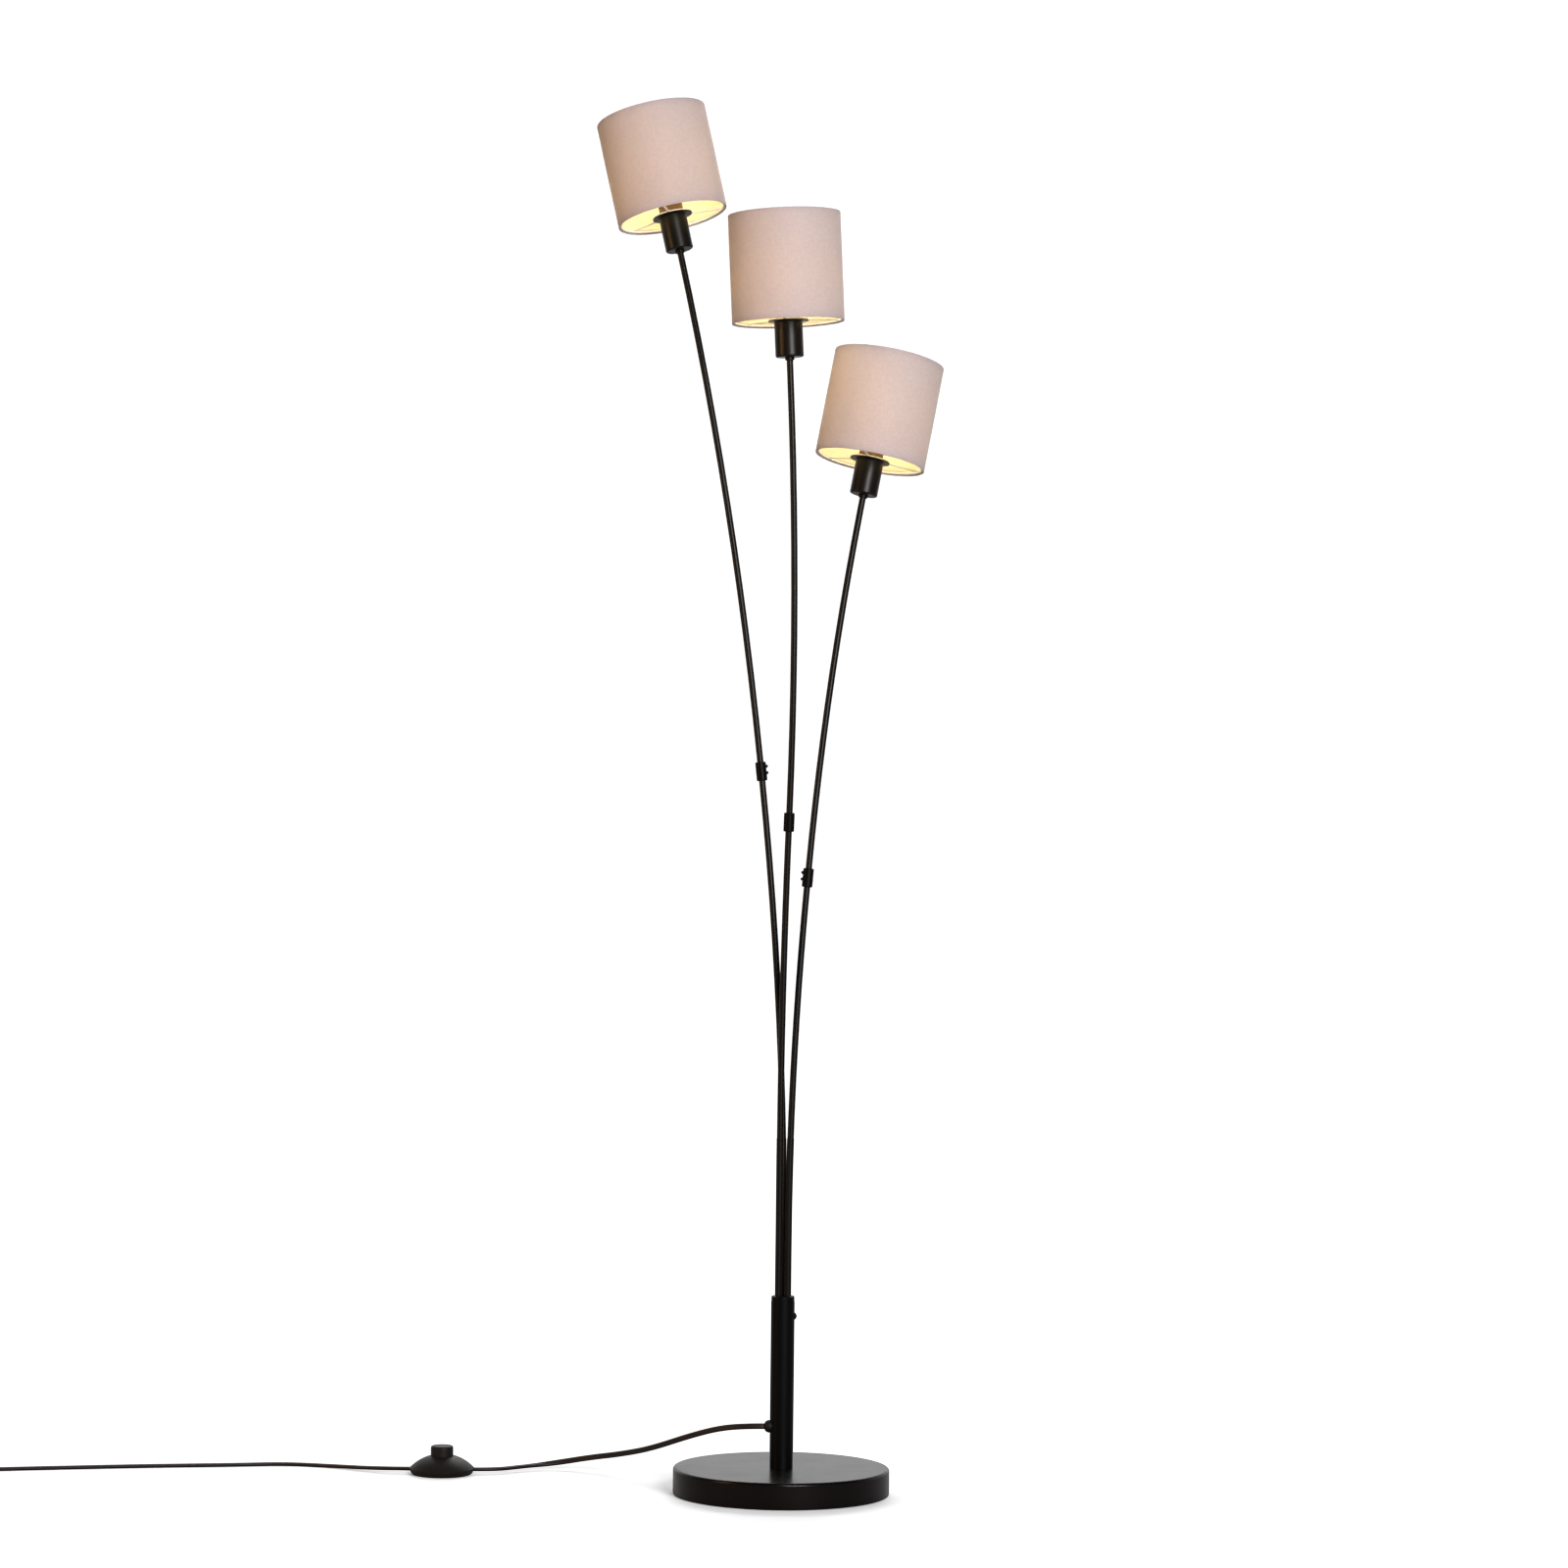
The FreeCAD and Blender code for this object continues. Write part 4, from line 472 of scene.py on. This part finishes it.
def coil_points():
    """Control points of the coil: half turns that spiral in, one that climbs, the spiral back out, and
    the way down to the plug."""
    point = COIL_START + Vector((-CORD_WIDTH, 0, 0))
    points = [COIL_START, point]
    heading = -1.0
    radii = [COIL_INNER + COIL_PITCH / 2 * (COIL_HALF_TURNS - i) for i in range(COIL_HALF_TURNS)]
    radii.append(COIL_INNER)
    radii += [COIL_INNER + COIL_PITCH / 2 * (i + 1) for i in range(COIL_HALF_TURNS)]
    for turn, radius in enumerate(radii):
        climb = COIL_RISE if turn == COIL_HALF_TURNS else 0.0
        centre = point + Vector((0, heading * radius, 0))
        # the spline runs inside its control points, which lie that much further out
        step = math.pi / POINTS_PER_HALF_TURN
        reach = radius / math.cos(step / 2) ** 2
        for index in range(POINTS_PER_HALF_TURN):
            angle = step * (index + 0.5)
            along = heading * reach * math.sin(angle)
            across = -heading * reach * math.cos(angle)
            height = climb * (index + 0.5) / POINTS_PER_HALF_TURN
            points.append(centre + Vector((along, across, height)))
        point = centre + Vector((0, heading * radius, climb))
        heading = -heading
    leaving = Vector((heading, 0, 0))
    points.append(point + leaving * COIL_EXIT * 0.5)
    points.append(point + leaving * COIL_EXIT)
    low = point + leaving * (COIL_EXIT + COIL_DESCENT)
    low.z = PLUG_AXIS_HEIGHT
    points += [low, low + leaving * CORD_WIDTH]
    return points


def smooth_line(name, route):
    """The points of a NURBS spline whose control points are the route."""
    data = bpy.data.curves.new(name, "CURVE")
    data.dimensions = "3D"
    data.resolution_u = 10
    spline = data.splines.new("NURBS")
    spline.points.add(len(route) - 1)
    for control, place in zip(spline.points, route):
        control.co = (*place, 1.0)
    spline.order_u = 3
    spline.use_endpoint_u = True
    holder = bpy.data.objects.new(name, data)
    bpy.context.scene.collection.objects.link(holder)
    mesh = bpy.data.meshes.new_from_object(holder)
    line = [v.co.copy() for v in mesh.vertices]
    bpy.data.objects.remove(holder)
    bpy.data.curves.remove(data)
    bpy.data.meshes.remove(mesh)
    return line


def twin_section(steps=10):
    """Points round the flat cord's section: two round cores side by side with a shallow groove."""
    core = CORD_THICKNESS / 2
    reach = CORD_WIDTH / 2 - core
    groove = 0.25 * MM
    points = []
    for side in (1, -1):
        for index in range(steps + 1):
            angle = math.pi * (index / steps - 0.5)
            points.append((side * (reach + core * math.cos(angle)), side * core * math.sin(angle)))
        points.append((side * reach * 0.35, side * (core - groove * 0.4)))
        points.append((0.0, side * (core - groove)))
        points.append((-side * reach * 0.35, side * (core - groove * 0.4)))
    return points


def lengths_along(line):
    total = [0.0]
    for before, after in zip(line, line[1:]):
        total.append(total[-1] + (after - before).length)
    return total


def turned(section, degrees):
    angle = math.radians(degrees)
    cosine, sine = math.cos(angle), math.sin(angle)
    return [(a * cosine - b * sine, a * sine + b * cosine) for a, b in section]


def loft(name, line, section_at, material):
    """A closed skin along a line on the stand; section_at(distance) gives the points (across, up)
    round it there. Returns the piece and the line's length."""
    distances = lengths_along(line)
    points = []
    for index, centre in enumerate(line):
        before = line[max(index - 1, 0)]
        after = line[min(index + 1, len(line) - 1)]
        tangent = (after - before).normalized()
        side = tangent.cross(Vector((0, 0, 1))).normalized()
        up = side.cross(tangent)
        section = section_at(distances[index])
        points.extend(centre + side * a + up * b for a, b in section)
    count = len(section)
    faces = []
    for ring in range(len(line) - 1):
        for index in range(count):
            after = (index + 1) % count
            low, high = ring * count, (ring + 1) * count
            faces.append((low + index, low + after, high + after, high + index))
    faces.append(tuple(reversed(range(count))))
    last = (len(line) - 1) * count
    faces.append(tuple(last + index for index in range(count)))
    piece = mesh_object(name, points, faces, "stand", [material])
    return piece, distances[-1]


def flat_cord(name, line, turn_at):
    """A flat twin cord along a line. turn_at(distance) is how far the cord is twisted, in degrees:
    0 lies flat and 90 stands on its edge."""
    section = twin_section()
    return loft(name, line, lambda distance: turned(section, turn_at(distance)), CORD_COVER)


def part_of_line(line, start, end, step):
    """Points about a step apart along a line, from one distance to another."""
    distances = lengths_along(line)
    count = math.ceil((end - start) / step)
    points = []
    index = 0
    for number in range(count + 1):
        wanted = start + (end - start) * number / count
        while index < len(line) - 2 and distances[index + 1] < wanted:
            index += 1
        share = (wanted - distances[index]) / max(distances[index + 1] - distances[index], 1e-9)
        points.append(line[index].lerp(line[index + 1], share))
    return points


RELIEF_LENGTH = 22.0 * MM
RELIEF_RIB = 3.6 * MM
RELIEF_GROOVE = 0.4 * MM
RELIEF_PLUG_END = 5.1 * MM
RELIEF_SKIN = 0.3 * MM
RELIEF_STEP = 0.4 * MM
RELIEF_SIDES = 28


def make_plug_relief(cord_line):
    """The ribbed sleeve that tapers from the plug down to the flat cord."""
    total = lengths_along(cord_line)[-1]
    line = part_of_line(cord_line, total - RELIEF_LENGTH, total, RELIEF_STEP)

    def section_at(distance):
        share = distance / RELIEF_LENGTH
        groove = RELIEF_GROOVE * (0.5 - 0.5 * math.cos(2.0 * math.pi * distance / RELIEF_RIB))
        wide = CORD_WIDTH / 2 + RELIEF_SKIN
        thin = CORD_THICKNESS / 2 + RELIEF_SKIN
        wide += (RELIEF_PLUG_END - wide) * share - groove * min(share * 4.0, 1.0)
        thin += (RELIEF_PLUG_END - thin) * share - groove * min(share * 4.0, 1.0)
        angles = (2.0 * math.pi * index / RELIEF_SIDES for index in range(RELIEF_SIDES))
        return [(wide * math.cos(angle), thin * math.sin(angle)) for angle in angles]

    return loft("plug_relief", line, section_at, CORD_COVER)[0]


TIE_WIDTH = 3.6 * MM
TIE_THICKNESS = 0.6 * MM
TIE_CORNER = 2.4 * MM
TIE_CLEARANCE = 0.05 * MM
TIE_LOCK = (5.4 * MM, 4.8 * MM, 3.2 * MM)
TIE_LOCK_ROUND = 0.7 * MM


def rounded_loop(half_width, half_height, corner, steps=6):
    """(across, up, direction outwards) round a rectangle with rounded corners."""
    loop = []
    for quarter, (x, z) in enumerate(((1, 1), (-1, 1), (-1, -1), (1, -1))):
        for step in range(steps + 1):
            angle = math.pi / 2 * (quarter + step / steps)
            out = Vector((math.cos(angle), 0.0, math.sin(angle)))
            across = x * (half_width - corner) + corner * out.x
            up = z * (half_height - corner) + corner * out.z
            loop.append((across, up, out))
    return loop


def make_coil_tie():
    """The nylon tie that holds the coil's turns together: a band, and its lock on top."""
    outer = COIL_INNER + COIL_PITCH / 2 * COIL_HALF_TURNS
    low = TIE_THICKNESS + TIE_CLEARANCE
    high = FLAT_HEIGHT + COIL_RISE + CORD_THICKNESS / 2
    middle = COIL_START + Vector((-CORD_WIDTH - (outer + COIL_INNER) / 2, -outer, 0))
    middle.z = (low + high) / 2
    half_width = (outer - COIL_INNER + CORD_WIDTH) / 2
    points = []
    for across, up, out in rounded_loop(half_width, (high - low) / 2, TIE_CORNER):
        for lift, side in ((0.0, -0.5), (0.0, 0.5), (TIE_THICKNESS, 0.5), (TIE_THICKNESS, -0.5)):
            points.append(middle + Vector((across, side * TIE_WIDTH, up)) + out * lift)
    faces = []
    for start in range(0, len(points), 4):
        for corner in range(4):
            after = (corner + 1) % 4
            there = start + 4
            quad = (start + corner, start + after, there + after, there + corner)
            faces.append(tuple(index % len(points) for index in quad))
    tie = mesh_object("coil_tie", points, faces, "stand", [NYLON], smooth=False)
    fix_normals(tie)

    edit = bmesh.new()
    bmesh.ops.create_cube(edit, size=1.0)
    bmesh.ops.scale(edit, vec=TIE_LOCK, verts=edit.verts)
    bmesh.ops.bevel(edit, geom=edit.edges[:], offset=TIE_LOCK_ROUND, segments=3, profile=0.5, affect="EDGES")
    bmesh.ops.translate(edit, vec=(middle.x, middle.y, high + TIE_LOCK[2] / 2), verts=edit.verts)
    mesh = bpy.data.meshes.new("coil_tie_lock")
    edit.to_mesh(mesh)
    edit.free()
    mesh.materials.append(NYLON)
    lock = add_object("coil_tie_lock", mesh, "stand")
    return [tie, lock]


def steps_between(distance, marks):
    """A value that eases from one mark to the next; marks are (distance, value)."""
    if distance <= marks[0][0]:
        return marks[0][1]
    for (low, first), (high, second) in zip(marks, marks[1:]):
        if distance <= high:
            share = (distance - low) / (high - low)
            share = share * share * (3.0 - 2.0 * share)
            return first + (second - first) * share
    return marks[-1][1]


LEAD_TWIST = [(0.0, 80.0), (0.27, 88.0), (0.335, 0.0)]


def make_cords():
    lead_line = smooth_line("lead_line", LEAD_ROUTE)
    lead, lead_length = flat_cord("cord_lead_cover", lead_line, lambda d: steps_between(d, LEAD_TWIST))
    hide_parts("cord_lead")
    tail_line = smooth_line("tail_line", TAIL_ROUTE + coil_points())
    tail, tail_length = flat_cord("cord_tail_cover", tail_line, lambda d: 0.0)
    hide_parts("cord_tail", "cord_coil")
    on_tail = [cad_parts["plug_body"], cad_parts["plug_pins"], make_plug_relief(tail_line)]
    on_tail += make_coil_tie()


make_cords()

# ---------------------------------------------------------------- shades

SHADE_SEGMENTS = 180
FABRIC_THICKNESS = 0.9 * MM
HEM_HEIGHT = 5.0 * MM
HEM_FOLD = 1.0 * MM
SEAM_WIDTH = 9.0 * MM
SEAM_RISE = 0.35 * MM
SEAM_PLACE = 100.0
WALL_ROWS = 18
FOLD_STEPS = 8
HEM_LAP = 0.45 * MM
HEM_STEP = 0.15 * MM
HEM_BULGE = 0.1 * MM
OUTER_SKIN = 0.2 * MM
WALL_RIPPLE = 0.18 * MM
EDGE_RIPPLE = 0.15 * MM


def shade_profile(low, high, radius):
    """(radius, height, material) round the wall, from the lining's foot down, out and up over the fabric:
    the fabric folds over both edges and ends inside, where the lining begins."""
    inner = radius - FABRIC_THICKNESS
    hem = inner - HEM_LAP
    fold = HEM_FOLD
    profile = []
    rows = WALL_ROWS
    for index in range(rows + 1):
        share = index / rows
        height = high - HEM_HEIGHT + (low - high + 2 * HEM_HEIGHT) * share
        profile.append((inner, height, 1))
    profile[-1] = (inner, low + HEM_HEIGHT, 0)
    profile.append((hem, low + HEM_HEIGHT - HEM_STEP, 0))
    profile.append((hem - HEM_BULGE, low + HEM_HEIGHT / 2, 0))
    middle, half = (hem + radius) / 2, (radius - hem) / 2
    for index in range(FOLD_STEPS + 1):
        angle = math.pi + math.pi * index / FOLD_STEPS
        profile.append((middle + half * math.cos(angle), low + fold + fold * math.sin(angle), 0))
    for index in range(1, rows + 1):
        height = low + fold + (high - low - 2 * fold) * index / (rows + 1)
        profile.append((radius, height, 0))
    for index in range(FOLD_STEPS + 1):
        angle = math.pi * index / FOLD_STEPS
        profile.append((middle + half * math.cos(angle), high - fold + fold * math.sin(angle), 0))
    profile.append((hem - HEM_BULGE, high - HEM_HEIGHT / 2, 0))
    profile.append((hem, high - HEM_HEIGHT + HEM_STEP, 0))
    return profile


def seam_lift(arc, radius):
    """How far the overlapping fabric stands out at an arc length round the shade."""
    distance = abs(arc - math.radians(SEAM_PLACE) * radius)
    edge = SEAM_WIDTH / 2 - distance
    return SEAM_RISE * min(max(edge / (0.6 * MM), 0.0), 1.0)


def make_shade(head):
    low, high, radius = head.span(f"shade_drum_{head.name}")
    profile = shade_profile(low, high, radius)
    rows = len(profile)
    seed = Vector((BRANCHES.index(head.name) * 7.0, 3.0, 1.0))
    points = []
    for segment in range(SHADE_SEGMENTS):
        angle = 2.0 * math.pi * segment / SHADE_SEGMENTS
        out = Vector((math.cos(angle), math.sin(angle), 0.0))
        for place, height, _ in profile:
            ripple = noise.noise(out * 4.0 + seed + Vector((0, 0, height * 25.0))) * WALL_RIPPLE
            near_edge = min(height - low, high - height)
            edge_ripple = noise.noise(out * 14.0 + seed) * EDGE_RIPPLE if near_edge < HEM_HEIGHT else 0.0
            lift = seam_lift(angle * radius, radius) if place > radius - OUTER_SKIN else 0.0
            local = out * (place + ripple + lift) + Vector((0, 0, height + edge_ripple))
            points.append(head.matrix @ local)
    faces, kinds, uvs = [], [], []
    for segment in range(SHADE_SEGMENTS):
        after = (segment + 1) % SHADE_SEGMENTS
        arc, next_arc = (2.0 * math.pi * radius * (segment + step) / SHADE_SEGMENTS for step in (0, 1))
        for row in range(rows):
            next_row = (row + 1) % rows
            faces.append((
                segment * rows + row, after * rows + row, after * rows + next_row, segment * rows + next_row))
            kinds.append(profile[row][2])
            here, there = profile[row][1], profile[next_row][1]
            uvs.extend([(arc, here), (next_arc, here), (next_arc, there), (arc, there)])
    shade = mesh_object(
        f"fabric_shade_{head.name}", points, faces, head.body, [FABRIC, LINING_PAINTED_WARM], kinds)
    add_uv(shade.data, uvs)
    fix_normals(shade)
    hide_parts(f"shade_drum_{head.name}")
    return shade


def revolved(name, head, profile, material, segments=64):
    """A piece turned round a head's axis; profile holds (radius, height) from bottom to top."""
    points, faces = [], []
    count = len(profile)
    for segment in range(segments):
        angle = 2.0 * math.pi * segment / segments
        for radius, height in profile:
            local = Vector((radius * math.cos(angle), radius * math.sin(angle), height))
            points.append(head.matrix @ local)
    for segment in range(segments):
        after = (segment + 1) % segments
        for row in range(count - 1):
            faces.append((
                segment * count + row, after * count + row, after * count + row + 1, segment * count + row + 1))
    piece = mesh_object(name, points, faces, head.body, [material])
    fix_normals(piece, merge=True)
    return piece


CAP_LENGTH = 24.0 * MM
CAP_RADIUS = 6.9 * MM
THREAD_DEPTH = 0.35 * MM
THREAD_PITCH = 2.8 * MM
CONTACT_RADIUS = 2.5 * MM
BULB_NECK = 7.4 * MM
GLOBE_STEPS = 32
THREAD_STEPS = 48
THREAD_MARGIN = 4.0 * MM
CAP_RIM = 3.0 * MM
ON_AXIS = 1e-5


def make_bulb(head):
    """A golf-ball bulb: a smooth opal globe, and a cap with its rolled thread and contact."""
    low, high, radius = head.span(f"bulb_{head.name}")
    cap_top = low + CAP_LENGTH
    centre = high - radius
    start = -math.acos(BULB_NECK / radius)
    profile = [(BULB_NECK - 0.3 * MM, cap_top)]
    for index in range(GLOBE_STEPS + 1):
        angle = start + (math.pi / 2 - start) * index / GLOBE_STEPS
        profile.append((max(radius * math.cos(angle), ON_AXIS), centre + radius * math.sin(angle)))
    globe = revolved(f"opal_bulb_{head.name}", head, profile, LIT_GLASS)
    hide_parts(f"bulb_{head.name}")
    cap_profile = [(ON_AXIS, low), (CONTACT_RADIUS, low), (CONTACT_RADIUS + 0.5 * MM, low + 1.2 * MM)]
    thread_low, thread_high = low + THREAD_MARGIN, cap_top - THREAD_MARGIN
    for index in range(THREAD_STEPS + 1):
        height = thread_low + (thread_high - thread_low) * index / THREAD_STEPS
        wave = math.cos(2.0 * math.pi * (height - thread_low) / THREAD_PITCH)
        cap_profile.append((CAP_RADIUS - THREAD_DEPTH + THREAD_DEPTH * wave, height))
    cap_profile += [(CAP_RADIUS, cap_top - CAP_RIM), (CAP_RADIUS, cap_top)]
    cap = revolved(f"bulb_cap_{head.name}", head, cap_profile, ALUMINIUM)


for lamp_head in HEADS:
    make_shade(lamp_head)
    make_bulb(lamp_head)

# ---------------------------------------------------------------- finishes of the CAD pieces

FINISHES = {
    "base_cover": BASE_COAT, "base_weight": IRON, "base_pad": FELT, "base_nipple": STEEL, "base_nut": STEEL,
    "pole": COAT, "pole_foot_bush": STEEL, "pole_top_plug": COAT, "pole_screw": SCREW_BLACK,
    "cord_gland": SWITCH_PLASTIC, "terminal_block": WHITE_PLASTIC, "inner_cord": CORD_COVER,
    "lower_wires": CORD_COVER, "connector_screws": SCREW_BLACK, "switch_base": SWITCH_PLASTIC,
    "switch_cover": SWITCH_PLASTIC, "switch_button": SWITCH_PLASTIC, "switch_spring": STEEL,
    "plug_body": CORD_COVER, "plug_pins": NICKEL,
}
BRANCH_FINISHES = {
    "lower_rod": ROD_COAT, "connector": COAT, "upper_rod": ROD_COAT, "rod_nut": ROD_COAT, "holder_cup": CUP_COAT,
    "lamp_holder": HOLDER_PLASTIC_PAINTED_GLOW, "holder_collar": HOLDER_PLASTIC_PAINTED_GLOW, "shade_frame": WIRE_WHITE,
    "shade_ring": WIRE_WHITE, "lamp_wire": CORD_COVER,
}


def finish_node(node, material):
    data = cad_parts[node].data
    data.materials.clear()
    data.materials.append(material)


for node_name, node_finish in FINISHES.items():
    finish_node(node_name, node_finish)
for branch_name in BRANCHES:
    for node_name, node_finish in BRANCH_FINISHES.items():
        finish_node(f"{node_name}_{branch_name}", node_finish)

# ---------------------------------------------------------------- studio

# How bright the world is: in front of the lamp, behind it, and as the camera sees it.
ROOM_LIGHT = 0.12
BACKDROP_LIGHT = 0.9
WHITE_LIGHT = 1.12


def make_floor():
    """A plain pale floor that shows only the lamp's soft shadows on the white studio."""
    size = 6.0
    corners = [(-size, -size, 0), (size, -size, 0), (size, size, 0), (-size, size, 0)]
    mesh = bpy.data.meshes.new("floor")
    mesh.from_pydata(corners, [], [(0, 1, 2, 3)])
    material = new_material("floor_pale", (0.45, 0.45, 0.45), 0.7, specular=0.1)
    n = Nodes(material)
    wide = n.noise(n.object_coordinates(), 1.5)
    n.link(n.spread(wide, 0.66, 0.74), n.shader.inputs["Roughness"])
    mesh.materials.append(material)
    floor = add_object("floor", mesh)
    floor.is_shadow_catcher = True


def area_light(name, place, target, size, power, color=(1.0, 1.0, 1.0)):
    data = bpy.data.lights.new(name, "AREA")
    data.shape = "RECTANGLE"
    data.size, data.size_y = size
    data.energy = power
    data.color = color
    light = bpy.data.objects.new(name, data)
    light.location = place
    aim = Vector(target) - Vector(place)
    light.rotation_euler = aim.to_track_quat("-Z", "Y").to_euler()
    bpy.context.scene.collection.objects.link(light)


def make_world():
    """A white studio: the backdrop behind the lamp is bright and the room in front is dim."""
    world = bpy.data.worlds.new("studio")
    world.use_nodes = True
    tree = world.node_tree
    room = tree.nodes["Background"]
    direction = tree.nodes.new("ShaderNodeTexCoord")
    split = tree.nodes.new("ShaderNodeSeparateXYZ")
    tree.links.new(direction.outputs["Generated"], split.inputs["Vector"])
    strength = tree.nodes.new("ShaderNodeMapRange")
    strength.inputs["From Min"].default_value = 0.2
    strength.inputs["From Max"].default_value = 0.9
    strength.inputs["To Min"].default_value = ROOM_LIGHT
    strength.inputs["To Max"].default_value = BACKDROP_LIGHT
    tree.links.new(split.outputs["Y"], strength.inputs["Value"])
    tree.links.new(strength.outputs["Result"], room.inputs["Strength"])
    white = tree.nodes.new("ShaderNodeBackground")
    white.inputs["Strength"].default_value = WHITE_LIGHT
    for background in (room, white):
        background.inputs["Color"].default_value = (1.0, 1.0, 1.0, 1.0)
    path = tree.nodes.new("ShaderNodeLightPath")
    mix = tree.nodes.new("ShaderNodeMixShader")
    tree.links.new(path.outputs["Is Camera Ray"], mix.inputs["Fac"])
    tree.links.new(room.outputs["Background"], mix.inputs[1])
    tree.links.new(white.outputs["Background"], mix.inputs[2])
    tree.links.new(mix.outputs["Shader"], tree.nodes["World Output"].inputs["Surface"])
    bpy.context.scene.world = world


def make_studio():
    settings = bpy.context.scene.view_settings
    settings.view_transform = "Standard"
    settings.look = "None"
    make_world()
    area_light("key", (1.4, -3.5, 1.7), (0, 0, 0.9), (1.4, 1.8), 158.0, (1.0, 0.97, 0.97))
    area_light("warm", (-3.0, -1.4, 1.2), (0, 0, 1.1), (1.0, 1.6), 34.0, (1.0, 0.56, 0.2))
    area_light("rear", (0.0, 3.2, 2.6), (0, 0, 0.8), (2.4, 1.2), 45.0)


make_floor()
make_studio()
